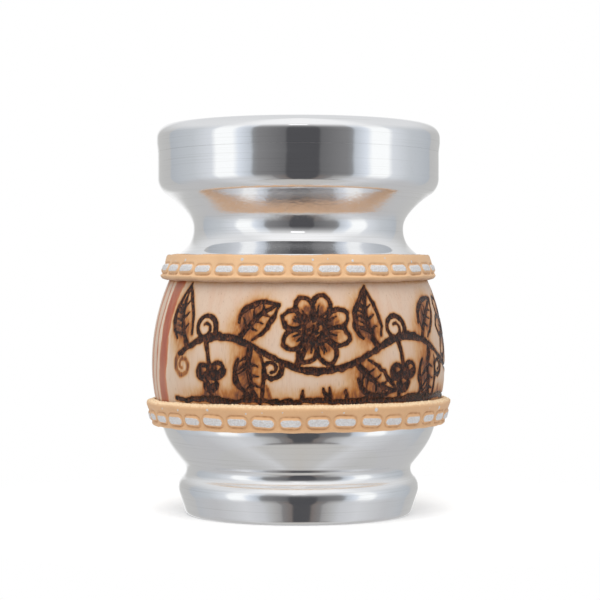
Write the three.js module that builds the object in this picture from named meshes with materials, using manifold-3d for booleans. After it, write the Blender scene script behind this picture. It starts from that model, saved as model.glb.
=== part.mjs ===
// Wooden mate cup: one turned wooden vessel, clad in spun aluminium at the mouth, neck and foot,
// with an embossed leather band over each edge of the metal.
// Millimetres, +Z up. The origin is the centre of the underside of the foot, and -Y is the front.

import * as THREE from 'three';
import { mergeVertices } from 'three/addons/utils/BufferGeometryUtils.js';
import Module from 'manifold-3d';

// Heights of the outer form, each one counted from the one before
const CREST_HEIGHT = 7.3;
const WAIST_RISE = 5.3;
const BELLY_RISE = 29.9;
const NECK_RISE = 38.3;
const SHOULDER_RISE = 14.2;
const RIM_DEPTH = 15;

// Radii of the outer form, and of the bends between them
const FOOT_RING_RADIUS = 24;
const FOOT_RECESS = 1.6;
const FOOT_EDGE_INNER_BEND = 0.4;
const FOOT_TAPER = 18; // degrees that the foot's wall leans in towards the floor
const CREST_PROUD = 2.3; // how far the foot's crest stands out from the waist
const WAIST_RADIUS = 31.8;
const WAIST_BEND = 3;
const BELLY_RADIUS = 41.7;
const NECK_RADIUS = 29.9;
const NECK_LOWER_BEND = 9;
const NECK_UPPER_BEND = 6.3;
const NECK_FLANK_BEND = 23; // long hollow flank between the neck's bend and the shoulder
const SHOULDER_BEND = 5.4;
const RIM_RADIUS = 40;

// Mouth ring and the inside of the vessel
const RING_SKIRT = 7.7; // how far the ring reaches down outside
const RING_PROUD = 0.3; // how far the ring stands out from the collar under it
const MOUTH_SKIRT = 11; // how far the ring reaches down inside
const LIP_OUTER_BEND = 3.6;
const LIP_LAND = 4.7; // flat between the lip's two bends
const LIP_INNER_BEND = 2.5;
const THROAT_BEND = 20;
const NECK_WALL = 4.3; // wood between the well and the metal at the neck
const WELL_FLOOR = 18;
const FLOOR_BEND = 12;

// Sheet metal, and the gap between pieces that seat on each other
const SHEET = 1;
const CLEARANCE = 0.3;

// Leather bands, each centred on an edge of the metal
const BAND_THICKNESS = 2.3;
const BAND_EDGE_BEVEL = 0.5;
const UPPER_BAND_WIDTH = 6.6;
const UPPER_BAND_DROP = 11.1; // below the neck
const UPPER_BAND_LEAN = 16; // degrees that the face of the band looks up
const UPPER_SEAM_TURN = 1.7; // degrees from the middle of the back
const LOWER_BAND_WIDTH = 7.2;
const LOWER_BAND_RISE = 16.2; // above the waist
const LOWER_BAND_LEAN = -17;
const LOWER_SEAM_TURN = 2.4;
const SEAM_GAP = 0.5;

// Row of embossed stitches round each band
const STITCH_LENGTH = 6.15;
const STITCH_WIDTH = 3.2;
const STITCH_GAP = 1.2;
const STITCH_DROP = 0.55; // how far the row lies below the middle of the band
const STITCH_RISE = 0.45;
const STITCH_ROOT = 0.25; // depth below the band's face at which a stitch's flanks start

// Facets
const SEGMENTS = 40;
const STITCH_END_SEGMENTS = 2;
const CHORD_ERROR = 0.18;
const SAME_POINT = 1e-3;

const WOOD = { color: 0xd9bd9f, roughness: 0.4, metalness: 0 };
const ALUMINIUM = { color: 0xd4d6d8, roughness: 0.15, metalness: 1 };
const LEATHER = { color: 0xe3b27c, roughness: 0.7, metalness: 0 };

const wasm = await Module();
wasm.setup();

const radians = THREE.MathUtils.degToRad;
const QUARTER = Math.PI / 2;

// A turned outline is a chain of bends. A bend is an arc about (r, z) on which the outward normal turns
// from one angle to another. Its radius is positive where the form bulges and negative where it is hollow,
// so that the same chain, set in by a distance, is the inside of a sheet or the wood under it.
function bend(r, z, radius, from, to) {
  return { r, z, radius, from, to };
}

function pointOn({ r, z, radius }, angle, inset = 0) {
  return new THREE.Vector2(r + (radius - inset) * Math.cos(angle), z + (radius - inset) * Math.sin(angle));
}

function outline(bends, inset = 0) {
  const points = bends.flatMap((arc) => {
    const turn = arc.to - arc.from;
    const step = 2 * Math.acos(Math.max(0, 1 - CHORD_ERROR / Math.abs(arc.radius)));
    const count = Math.max(1, Math.ceil(Math.abs(turn) / step));
    return Array.from({ length: count + 1 }, (_, i) => pointOn(arc, arc.from + (turn * i) / count, inset));
  });
  return points.filter((point, i) => i === 0 || point.distanceTo(points[i - 1]) > SAME_POINT);
}

// Radius of the bulge between a hollow bend, with its narrowest radius, and a widest radius `rise` away
function sweepRadius(narrow, hollow, widest, rise) {
  const offset = narrow + hollow - widest;
  return (offset ** 2 + rise ** 2 - hollow ** 2) / (2 * (hollow - offset));
}

// Sum of the radii of two arcs that meet in an S and shift it sideways by `shift` over `rise`
function reverseCurveRadii(shift, rise) {
  return (shift ** 2 + rise ** 2) / (2 * shift);
}

// Wide hollow bend that takes over from a narrow one and runs on into a bulge above it
function flankBetween(narrow, bulge, radius) {
  const apart = new THREE.Vector2(narrow.r - bulge.r, narrow.z - bulge.z);
  const toNarrow = radius + narrow.radius;
  const toBulge = radius + bulge.radius;
  const corner = (apart.lengthSq() + toBulge ** 2 - toNarrow ** 2) / (2 * apart.length() * toBulge);
  const to = Math.atan2(apart.y, apart.x) + Math.acos(corner);
  const centre = pointOn(bulge, to, -radius);
  const from = Math.atan2(centre.y - narrow.z, centre.x - narrow.r);
  return bend(centre.x, centre.y, -radius, from, to);
}

const waistHeight = CREST_HEIGHT + WAIST_RISE;
const bellyHeight = waistHeight + BELLY_RISE;
const neckHeight = bellyHeight + NECK_RISE;
const shoulderHeight = neckHeight + SHOULDER_RISE;
const cupHeight = shoulderHeight + RIM_DEPTH;

// Foot, waist and lower belly
const lowerSweep = sweepRadius(WAIST_RADIUS, WAIST_BEND, BELLY_RADIUS, BELLY_RISE);
const lowerTangent = -Math.asin(BELLY_RISE / (lowerSweep + WAIST_BEND));
const footRadii = reverseCurveRadii(CREST_PROUD, WAIST_RISE);
const crestBend = footRadii - WAIST_BEND;
const crestTangent = Math.asin(WAIST_RISE / footRadii);
const footLean = -radians(FOOT_TAPER);

const crest = bend(WAIST_RADIUS + CREST_PROUD - crestBend, CREST_HEIGHT, crestBend, footLean, crestTangent);
const waist = bend(WAIST_RADIUS + WAIST_BEND, waistHeight, -WAIST_BEND, crestTangent, lowerTangent);
const lowerBelly = bend(BELLY_RADIUS - lowerSweep, bellyHeight, lowerSweep, lowerTangent, 0);

// Upper belly, neck, shoulder and lip
const upperSweep = sweepRadius(NECK_RADIUS, NECK_LOWER_BEND, BELLY_RADIUS, NECK_RISE);
const upperTangent = Math.asin(NECK_RISE / (upperSweep + NECK_LOWER_BEND));

const upperBelly = bend(BELLY_RADIUS - upperSweep, bellyHeight, upperSweep, 0, upperTangent);
const lowerNeck = bend(NECK_RADIUS + NECK_LOWER_BEND, neckHeight, -NECK_LOWER_BEND, upperTangent, 0);
const neckBend = bend(NECK_RADIUS + NECK_UPPER_BEND, neckHeight, -NECK_UPPER_BEND, 0, 0);
const rimBend = bend(RIM_RADIUS - SHOULDER_BEND, shoulderHeight, SHOULDER_BEND, 0, 0);
const neckFlank = flankBetween(neckBend, rimBend, NECK_FLANK_BEND);
const upperNeck = { ...neckBend, to: neckFlank.from };
const shoulder = { ...rimBend, from: neckFlank.to };

function outerLip(radius) {
  return bend(radius - LIP_OUTER_BEND, cupHeight - LIP_OUTER_BEND, LIP_OUTER_BEND, 0, QUARTER);
}

// Mouth, throat and well, with normals that look into the hollow.
// The mouth's wall is the line that touches both the lip's inner bend and the throat at the neck.
const ringRadius = RIM_RADIUS + RING_PROUD;
const ringEdge = cupHeight - RING_SKIRT;
const innerLipRadius = ringRadius - LIP_OUTER_BEND - LIP_LAND;
const innerLipHeight = cupHeight - LIP_INNER_BEND;
const wellRadius = NECK_RADIUS - SHEET - CLEARANCE - NECK_WALL;
const throatToLip = new THREE.Vector2(innerLipRadius - wellRadius - THROAT_BEND, innerLipHeight - neckHeight);
const mouthNormal = throatToLip.angle() + Math.acos((THROAT_BEND - LIP_INNER_BEND) / throatToLip.length());

const innerLip = bend(innerLipRadius, innerLipHeight, LIP_INNER_BEND, QUARTER, mouthNormal);
const throat = bend(wellRadius + THROAT_BEND, neckHeight, THROAT_BEND, mouthNormal, Math.PI);
const wellFloor = bend(wellRadius - FLOOR_BEND, WELL_FLOOR + FLOOR_BEND, -FLOOR_BEND, Math.PI, QUARTER);

function mouthWallPoint(depth, inset) {
  const top = pointOn(innerLip, mouthNormal, inset);
  const fall = top.y - (cupHeight - depth);
  return new THREE.Vector2(top.x + fall * Math.tan(mouthNormal), cupHeight - depth);
}

// Edges of the metal on the belly, under the middle of each band
const upperBandHeight = neckHeight - UPPER_BAND_DROP;
const lowerBandHeight = waistHeight + LOWER_BAND_RISE;
const upperEdge = Math.asin((upperBandHeight - bellyHeight) / upperSweep);
const lowerEdge = Math.asin((lowerBandHeight - bellyHeight) / lowerSweep);
const collarBelly = { ...upperBelly, from: upperEdge };
const shellBelly = { ...lowerBelly, to: lowerEdge };
const collarSkin = [collarBelly, lowerNeck, upperNeck, neckFlank, shoulder];
const bareUpperBelly = { ...upperBelly, to: upperEdge - CLEARANCE / upperSweep };
const bareLowerBelly = { ...lowerBelly, from: lowerEdge + CLEARANCE / lowerSweep };

function onAxis(z) {
  return new THREE.Vector2(0, z);
}

// Where the foot's leaning wall, set in by a distance, comes down to a height
function footWallPoint(z, inset) {
  const top = pointOn(crest, footLean, inset);
  return new THREE.Vector2(top.x - (top.y - z) * Math.tan(radians(FOOT_TAPER)), z);
}

// A solid of revolution from an outline that runs up the outside and back along the inside
function turned(points) {
  return new THREE.LatheGeometry(points, SEGMENTS).rotateX(QUARTER);
}

function turnedRing(points) {
  return turned([...points, points[0].clone()]);
}

// Vessel turned from one block: its belly shows, and the rest lies under the metal
function woodCup() {
  const inset = SHEET + CLEARANCE;
  const bottom = FOOT_RECESS + inset;
  const rebate = MOUTH_SKIRT + CLEARANCE;
  return turned([
    onAxis(bottom),
    footWallPoint(bottom, inset),
    ...outline([crest, waist, shellBelly], inset),
    ...outline([bareLowerBelly, bareUpperBelly]),
    ...outline([...collarSkin, outerLip(RIM_RADIUS), innerLip], inset),
    mouthWallPoint(rebate, inset),
    mouthWallPoint(rebate, 0),
    ...outline([throat, wellFloor]),
    onAxis(WELL_FLOOR),
  ]);
}

// Spun cup under the lower band, with a ring to stand on and a recess inside it
function baseShell() {
  const edgeBend = FOOT_EDGE_INNER_BEND + SHEET;
  const edgeCentre = footWallPoint(0, 0).x - edgeBend * Math.tan((QUARTER + footLean) / 2);
  const edge = bend(edgeCentre, edgeBend, edgeBend, -QUARTER, footLean);
  const skin = [edge, crest, waist, shellBelly];
  const recessRadius = FOOT_RING_RADIUS - FOOT_RECESS;
  const slopeInset = SHEET * Math.tan(QUARTER / 4);
  return turned([
    onAxis(FOOT_RECESS),
    new THREE.Vector2(recessRadius, FOOT_RECESS),
    new THREE.Vector2(FOOT_RING_RADIUS, 0),
    ...outline(skin),
    ...outline(skin, SHEET).reverse(),
    new THREE.Vector2(FOOT_RING_RADIUS + slopeInset, SHEET),
    new THREE.Vector2(recessRadius + slopeInset, FOOT_RECESS + SHEET),
    onAxis(FOOT_RECESS + SHEET),
  ]);
}

// Spun sleeve from the upper band over the neck and shoulder to the mouth ring
function neckCollar() {
  const top = ringEdge - CLEARANCE;
  return turnedRing([
    ...outline(collarSkin),
    new THREE.Vector2(RIM_RADIUS, top),
    new THREE.Vector2(RIM_RADIUS - SHEET, top),
    ...outline(collarSkin, SHEET).reverse(),
  ]);
}

// Spun ring folded over the mouth, outside onto the rim and inside down the mouth's wall
function mouthRing() {
  const skin = [outerLip(ringRadius), innerLip];
  return turnedRing([
    new THREE.Vector2(ringRadius, ringEdge),
    ...outline(skin),
    mouthWallPoint(MOUTH_SKIRT, 0),
    mouthWallPoint(MOUTH_SKIRT, SHEET),
    ...outline(skin, SHEET).reverse(),
    new THREE.Vector2(ringRadius - SHEET, ringEdge),
  ]);
}

// Closed geometry as a solid for cutting and joining, and back
function solidOf(geometry) {
  const bare = geometry.clone().deleteAttribute('normal').deleteAttribute('uv');
  const merged = mergeVertices(bare, SAME_POINT);
  return new wasm.Manifold(new wasm.Mesh({
    numProp: 3,
    vertProperties: merged.getAttribute('position').array,
    triVerts: new Uint32Array(merged.index.array),
  }));
}

function geometryOf(solid) {
  const { vertProperties, triVerts } = solid.getMesh();
  return new THREE.BufferGeometry()
    .setAttribute('position', new THREE.BufferAttribute(vertProperties, 3))
    .setIndex(new THREE.BufferAttribute(triVerts, 1));
}

// One embossed stitch: a long pad with round ends and sloping flanks, lying along X with +Z out of the face
function stitchPad() {
  const endRadius = STITCH_WIDTH / 2;
  const endCentre = STITCH_LENGTH / 2 - endRadius;
  const pad = new THREE.Shape()
    .absarc(endCentre, 0, endRadius, -QUARTER, QUARTER)
    .absarc(-endCentre, 0, endRadius, QUARTER, 3 * QUARTER);
  const flank = STITCH_RISE + STITCH_ROOT;
  return new THREE.ExtrudeGeometry(pad, {
    curveSegments: STITCH_END_SEGMENTS,
    depth: STITCH_ROOT,
    bevelThickness: flank,
    bevelSize: flank,
    bevelOffset: -flank,
    bevelSegments: 1,
  }).translate(0, 0, -2 * STITCH_ROOT);
}

// Leather strip round the cup, with its raised stitches and the gap where its ends meet at the back.
// It stands at a lean of its own, and touches the belly where that comes closest.
function leatherBand(belly, height, width, leanDegrees, seamTurn) {
  const lean = radians(leanDegrees);
  const out = new THREE.Vector2(Math.cos(lean), Math.sin(lean));
  const up = new THREE.Vector2(-Math.sin(lean), Math.cos(lean));
  const half = width / 2;
  const normalAt = (z) => Math.asin((z - belly.z) / belly.radius);
  const touch = THREE.MathUtils.clamp(lean, normalAt(height - half * up.y), normalAt(height + half * up.y));
  const contact = pointOn(belly, touch, -CLEARANCE);
  const seat = contact.clone().addScaledVector(up, (height - contact.y) / up.y);
  const at = (outward, upward) => seat.clone().addScaledVector(out, outward).addScaledVector(up, upward);

  const strip = turnedRing([
    at(0, -half),
    at(BAND_THICKNESS - BAND_EDGE_BEVEL, -half),
    at(BAND_THICKNESS, BAND_EDGE_BEVEL - half),
    at(BAND_THICKNESS, half - BAND_EDGE_BEVEL),
    at(BAND_THICKNESS - BAND_EDGE_BEVEL, half),
    at(0, half),
  ]);
  const face = at(BAND_THICKNESS, -STITCH_DROP);
  const count = Math.round((2 * Math.PI * face.x) / (STITCH_LENGTH + STITCH_GAP));
  const seam = Math.PI + radians(seamTurn);
  const frontStitch = stitchPad().rotateX(QUARTER - lean).translate(0, -face.x, face.y);
  const slot = new THREE.BoxGeometry(SEAM_GAP, face.x, face.y)
    .translate(0, -face.x, face.y)
    .rotateZ(seam);

  let band = solidOf(strip);
  for (let i = 0; i < count; i += 1) {
    const turn = seam + (2 * Math.PI * (i + 0.5)) / count;
    band = band.add(solidOf(frontStitch.clone().rotateZ(turn)));
  }
  return geometryOf(band.subtract(solidOf(slot)));
}

function upperBand() {
  return leatherBand(upperBelly, upperBandHeight, UPPER_BAND_WIDTH, UPPER_BAND_LEAN, UPPER_SEAM_TURN);
}

function lowerBand() {
  return leatherBand(lowerBelly, lowerBandHeight, LOWER_BAND_WIDTH, LOWER_BAND_LEAN, LOWER_SEAM_TURN);
}

function piece(name, geometry, finish) {
  const mesh = new THREE.Mesh(geometry, new THREE.MeshStandardMaterial(finish));
  mesh.name = name;
  return mesh;
}

const cup = new THREE.Group();
cup.add(
  piece('wood_cup', woodCup(), WOOD),
  piece('base_shell', baseShell(), ALUMINIUM),
  piece('neck_collar', neckCollar(), ALUMINIUM),
  piece('mouth_ring', mouthRing(), ALUMINIUM),
  piece('upper_band', upperBand(), LEATHER),
  piece('lower_band', lowerBand(), LEATHER),
);

export default cup;
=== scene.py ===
"""Looks of a wooden mate cup: turned wood with a burned frieze, spun aluminium and embossed leather.

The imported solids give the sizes. Lengths here are millimetres until a mesh is written, and angles run
round the cup from its front, which looks along -Y, towards +X.
"""

import logging
import math
from dataclasses import asdict, dataclass, field
from enum import Enum
from typing import Any, Callable, Optional, Sequence, Union

import bpy
import numpy as np
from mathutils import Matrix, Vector


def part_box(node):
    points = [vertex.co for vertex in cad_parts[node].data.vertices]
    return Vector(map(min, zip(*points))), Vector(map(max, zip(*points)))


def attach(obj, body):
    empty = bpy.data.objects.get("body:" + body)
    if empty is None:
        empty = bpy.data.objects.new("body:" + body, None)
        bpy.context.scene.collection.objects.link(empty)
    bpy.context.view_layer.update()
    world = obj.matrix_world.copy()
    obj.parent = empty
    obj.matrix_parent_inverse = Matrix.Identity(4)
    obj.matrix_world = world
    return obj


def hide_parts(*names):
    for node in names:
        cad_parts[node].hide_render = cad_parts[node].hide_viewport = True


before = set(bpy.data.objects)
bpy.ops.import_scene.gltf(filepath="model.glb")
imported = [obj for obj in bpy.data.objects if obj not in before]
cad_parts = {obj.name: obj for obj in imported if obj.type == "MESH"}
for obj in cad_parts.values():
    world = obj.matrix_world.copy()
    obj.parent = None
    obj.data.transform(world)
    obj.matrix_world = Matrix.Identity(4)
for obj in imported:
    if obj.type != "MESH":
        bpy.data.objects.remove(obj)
log = logging.getLogger("mate_cup")

MM = 0.001
TURN = 2 * math.pi
QUARTER = math.pi / 2
DEGREES = 180 / math.pi
BODY = "root"
BAKE_MAP = "OFBake"

# Outlines: a turn above CORNER is an edge, and a smaller one belongs to a bend. Points nearer to each
# other than SAME_POINT are one, a bend below STRAIGHT is a line, and one step of an arc turns by no more
# than FINEST_TURN. The outer side of a sheet lies within SHEET_AND_A_HALF of its widest place
CORNER = math.radians(40)
SAME_POINT = 2e-3
STRAIGHT = 1e-5
FINEST_TURN = 0.16
SHEET_AND_A_HALF = 1.5

# Curve over an edge: its points, the most of a side that it takes up, and how many times as far from the
# corner as its end a guard point lies
CORNER_STEPS = 5
CORNER_REACH = 0.45
GUARD = 4.0

# Burning: hotter lines than CHARRING_HEAT are charred. A line is felt within BURN_REACH of its middle,
# and a stain within STAIN_REACH times its longer half
CHARRING_HEAT = 0.5
BURN_REACH = 2.5
STAIN_REACH = 2.2

# How far above the lower band's foot the base shell is tucked in
SHELL_LAP = 1.5

Socket = bpy.types.NodeSocket
Value = Union[float, Sequence[float], bpy.types.NodeSocket]
Colour = tuple[float, float, float]
Stops = Sequence[tuple[float, Colour]]


class Slot(Enum):
    """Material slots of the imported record."""

    WOOD = "wood"
    METAL = "aluminium"
    LEATHER = "leather"


def smoothstep(low: float, high: float, value: np.ndarray) -> np.ndarray:
    """Eases from 0 to 1 between two limits.

    Args:
        low: Where the result leaves 0.
        high: Where the result reaches 1; it may be the lower of the two.
        value: Numbers to ease.

    Returns:
        The eased numbers.
    """
    share = np.clip((value - low) / (high - low), 0, 1)
    return share * share * (3 - 2 * share)


def linear(red: int, green: int, blue: int) -> Colour:
    """Turns a colour as a screen shows it, 0 to 255, into linear light.

    Args:
        red: Red level.
        green: Green level.
        blue: Blue level.

    Returns:
        The three levels in linear light.
    """
    levels = np.array([red, green, blue]) / 255
    light = np.where(levels <= 0.04045, levels / 12.92, ((levels + 0.055) / 1.055) ** 2.4)
    return tuple(float(level) for level in light)


@dataclass(frozen=True)
class Ripple:
    """Slow seeded unevenness round and along a piece, as a sum of waves.

    Attributes:
        seed: Start of the random draws.
        waves: How many waves are summed.
        turns: Most waves round the cup.
        pitch: Shortest wave along the height.
    """

    seed: int
    waves: int = 7
    turns: int = 5
    pitch: float = 18

    def at(self, angle: np.ndarray, height: np.ndarray) -> np.ndarray:
        """Gives the unevenness at places on the piece, mostly within -1 to 1.

        Args:
            angle: Angles round the cup.
            height: Heights above the foot.

        Returns:
            One number for each place.
        """
        draw = np.random.default_rng(self.seed)
        total = np.zeros(np.broadcast(angle, height).shape)
        for _ in range(self.waves):
            turns = draw.integers(1, self.turns + 1)
            rate = draw.uniform(-1, 1) * TURN / self.pitch
            total += np.cos(turns * angle + rate * height + draw.uniform(0, TURN))
        return total / math.sqrt(self.waves)


@dataclass(frozen=True)
class Meridian:
    """Outline of a turned solid in its front half-plane.

    Attributes:
        points: (radius, height) corners, counter-clockwise.
        closed: Whether the outline closes on itself instead of ending.
    """

    points: np.ndarray
    closed: bool

    @classmethod
    def of_node(cls, node: str) -> "Meridian":
        """Reads the outline along which the front half-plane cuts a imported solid.

        Args:
            node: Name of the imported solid.

        Returns:
            The outline, in millimetres.
        """
        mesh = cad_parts[node].data
        places = np.array([vertex.co for vertex in mesh.vertices]) / MM
        in_front = (np.abs(places[:, 0]) < SAME_POINT) & (places[:, 1] < SAME_POINT)
        corners: list[np.ndarray] = []
        corner_of: dict[int, int] = {}
        for vertex in np.flatnonzero(in_front):
            place = np.array([-places[vertex, 1], places[vertex, 2]])
            known = [k for k, corner in enumerate(corners) if np.hypot(*(corner - place)) < SAME_POINT]
            if not known:
                corners.append(place)
            corner_of[int(vertex)] = known[0] if known else len(corners) - 1
        links: dict[int, set[int]] = {corner: set() for corner in range(len(corners))}
        for edge in mesh.edges:
            first, second = (corner_of.get(vertex) for vertex in edge.vertices)
            if None not in (first, second) and first != second:
                links[first].add(second)
                links[second].add(first)
        ends = [corner for corner, linked in links.items() if len(linked) == 1]
        walk = [min(ends or links, key=lambda corner: corners[corner][1])]
        while len(walk) < len(corners):
            walk.append(min(corner for corner in links[walk[-1]] if corner not in walk))
        points = np.array([corners[corner] for corner in walk])
        radius, height = points.T
        area = np.sum(radius * np.roll(height, -1) - height * np.roll(radius, -1))
        return cls(points if area > 0 else points[::-1], not ends)

    def smooth(self, spacing: float, fillet: float) -> np.ndarray:
        """Rebuilds the bends that the facets stand for, and eases the sharp corners.

        Args:
            spacing: Longest step along the outline.
            fillet: How far from a sharp corner its easing starts.

        Returns:
            Points along the outline; a closed outline doesn't repeat its first point.
        """
        points = self.points
        if self.closed:
            headings = np.arctan2(*np.diff(np.vstack([points, points[:1]]), axis=0).T[::-1])
            turning = np.abs(np.angle(np.exp(1j * (headings - np.roll(headings, 1)))))
            points = np.roll(points, -int(np.argmax(turning)), axis=0)
            points = np.vstack([points, points[:1]])
        steps = np.diff(points, axis=0)
        lengths = np.hypot(*steps.T)
        headings = np.unwrap(np.arctan2(steps[:, 1], steps[:, 0]))
        turns = np.diff(headings)
        breaks = [0, *(np.flatnonzero(np.abs(turns) > CORNER) + 1), len(steps)]
        runs = list(zip(breaks, breaks[1:]))
        bends = np.concatenate([_bends(lengths[a:b], turns[a : b - 1]) for a, b in runs])
        path: list[np.ndarray] = []
        sharp: set[int] = set()
        for index, bend in enumerate(bends):
            if index in breaks and (index or self.closed):
                sharp.add(len(path))
            path.extend(_arc(points[index], lengths[index], headings[index], bend, spacing))
        if not self.closed:
            path.append(points[-1])
        return _ease_corners(np.array(path), sharp, fillet)


def _bends(lengths: np.ndarray, turns: np.ndarray) -> np.ndarray:
    """Finds the angle of the arc over each chord of a smooth run.

    Two arcs that meet smoothly turn their chords by half of both angles, so one unknown is left for the
    run. It takes the value for which the bending changes least along the run.

    Args:
        lengths: Lengths of the chords.
        turns: Turns between one chord and the next.

    Returns:
        One angle for each chord.
    """
    fixed = np.zeros(len(lengths))
    for index, turn in enumerate(turns):
        fixed[index + 1] = 2 * turn - fixed[index]
    sign = (-1.0) ** np.arange(len(lengths))
    rate, swing = fixed / lengths, sign / lengths
    tries = [0.0, *(-sign * fixed), *(-np.diff(rate) / np.diff(swing))]
    best = min(tries, key=lambda start: float(np.abs(np.diff(rate + start * swing)).sum()))
    return fixed + best * sign


def _arc(start: np.ndarray, length: float, heading: float, bend: float, spacing: float) -> np.ndarray:
    """Places points along the arc over a chord, without its far end.

    Args:
        start: First point of the chord.
        length: Length of the chord.
        heading: Direction of the chord.
        bend: Angle of the arc, positive to the left.
        spacing: Longest step along the arc.

    Returns:
        Points from the start towards the far end.
    """
    count = max(1, math.ceil(length / spacing), math.ceil(abs(bend) / FINEST_TURN))
    share = np.arange(count) / count
    if abs(bend) < STRAIGHT:
        return start + np.outer(share * length, [math.cos(heading), math.sin(heading)])
    radius = length / (2 * math.sin(bend / 2))
    first = heading - bend / 2
    along = first + share * bend
    across = np.stack([np.sin(along) - math.sin(first), math.cos(first) - np.cos(along)], axis=1)
    return start + radius * across


def _ease_corners(path: np.ndarray, sharp: set[int], fillet: float) -> np.ndarray:
    """Replaces sharp corners of a path by small curves.

    A very small curve gets a point on either side, which keeps the faces beside it flat in the light.

    Args:
        path: Points of the path.
        sharp: Indices of its sharp corners.
        fillet: How far from a corner its curve starts.

    Returns:
        The eased path.
    """
    eased: list[np.ndarray] = []
    for index, point in enumerate(path):
        if index not in sharp:
            eased.append(point)
            continue
        arms = [path[index - 1] - point, path[(index + 1) % len(path)] - point]
        reaches = [min(fillet / np.hypot(*arm), CORNER_REACH) for arm in arms]
        before, after = (point + arm * reach for arm, reach in zip(arms, reaches))
        curve = [
            before * (1 - share) ** 2 + 2 * point * share * (1 - share) + after * share**2
            for share in np.linspace(0, 1, CORNER_STEPS)
        ]
        guards = [
            [point + arm * reach * GUARD] if reach * GUARD < CORNER_REACH else []
            for arm, reach in zip(arms, reaches)
        ]
        eased.extend([*guards[0], *curve, *guards[1]])
    return np.array(eased)


def normals_of(path: np.ndarray, closed: bool) -> np.ndarray:
    """Finds the outward direction at each point of a counter-clockwise outline.

    Args:
        path: Points of the outline.
        closed: Whether the last point joins the first.

    Returns:
        One unit vector for each point.
    """
    before = np.roll(path, 1, axis=0)
    after = np.roll(path, -1, axis=0)
    if not closed:
        before[0], after[-1] = path[0], path[-1]
    along = after - before
    along /= np.hypot(*along.T)[:, None]
    return np.stack([along[:, 1], -along[:, 0]], axis=1)


@dataclass
class Skin:
    """Vertices, faces and bake map of one mesh in the making.

    Attributes:
        vertices: Blocks of places, in millimetres.
        faces: Blocks of faces of one size, as vertex numbers.
        maps: Bake map places, one for each corner of each face.
    """

    vertices: list[np.ndarray] = field(default_factory=list)
    faces: list[np.ndarray] = field(default_factory=list)
    maps: list[np.ndarray] = field(default_factory=list)

    def add_faces(self, faces: np.ndarray, places: np.ndarray) -> None:
        """Adds faces that all have as many corners, with their places in the bake map."""
        self.faces.append(faces)
        self.maps.append(places)

    def to_object(self, name: str, values: dict[str, np.ndarray]) -> bpy.types.Object:
        """Writes the mesh in metres and links it into the scene.

        Args:
            name: Name of the piece.
            values: Named numbers that the piece's material reads, one for each vertex.

        Returns:
            The new object.
        """
        mesh = bpy.data.meshes.new(name)
        places = np.concatenate(self.vertices) * MM
        loops = np.concatenate([block.ravel() for block in self.faces])
        sizes = np.concatenate([np.full(len(block), block.shape[1]) for block in self.faces])
        mesh.vertices.add(len(places))
        mesh.vertices.foreach_set("co", places.astype(np.float32).ravel())
        mesh.loops.add(len(loops))
        mesh.loops.foreach_set("vertex_index", loops.astype(np.int32))
        mesh.polygons.add(len(sizes))
        starts = np.concatenate([[0], np.cumsum(sizes)[:-1]])
        mesh.polygons.foreach_set("loop_start", starts.astype(np.int32))
        mesh.update(calc_edges=True)
        mesh.polygons.foreach_set("use_smooth", np.ones(len(sizes), bool))
        bake = mesh.uv_layers.new(name=BAKE_MAP)
        corners = np.concatenate([block.reshape(-1, 2) for block in self.maps])
        bake.data.foreach_set("uv", corners.astype(np.float32).ravel())
        for label, numbers in values.items():
            attribute = mesh.attributes.new(label, "FLOAT", "POINT")
            attribute.data.foreach_set("value", numbers.astype(np.float32))
        mesh.validate()
        piece = bpy.data.objects.new(name, mesh)
        bpy.context.scene.collection.objects.link(piece)
        return piece


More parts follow.
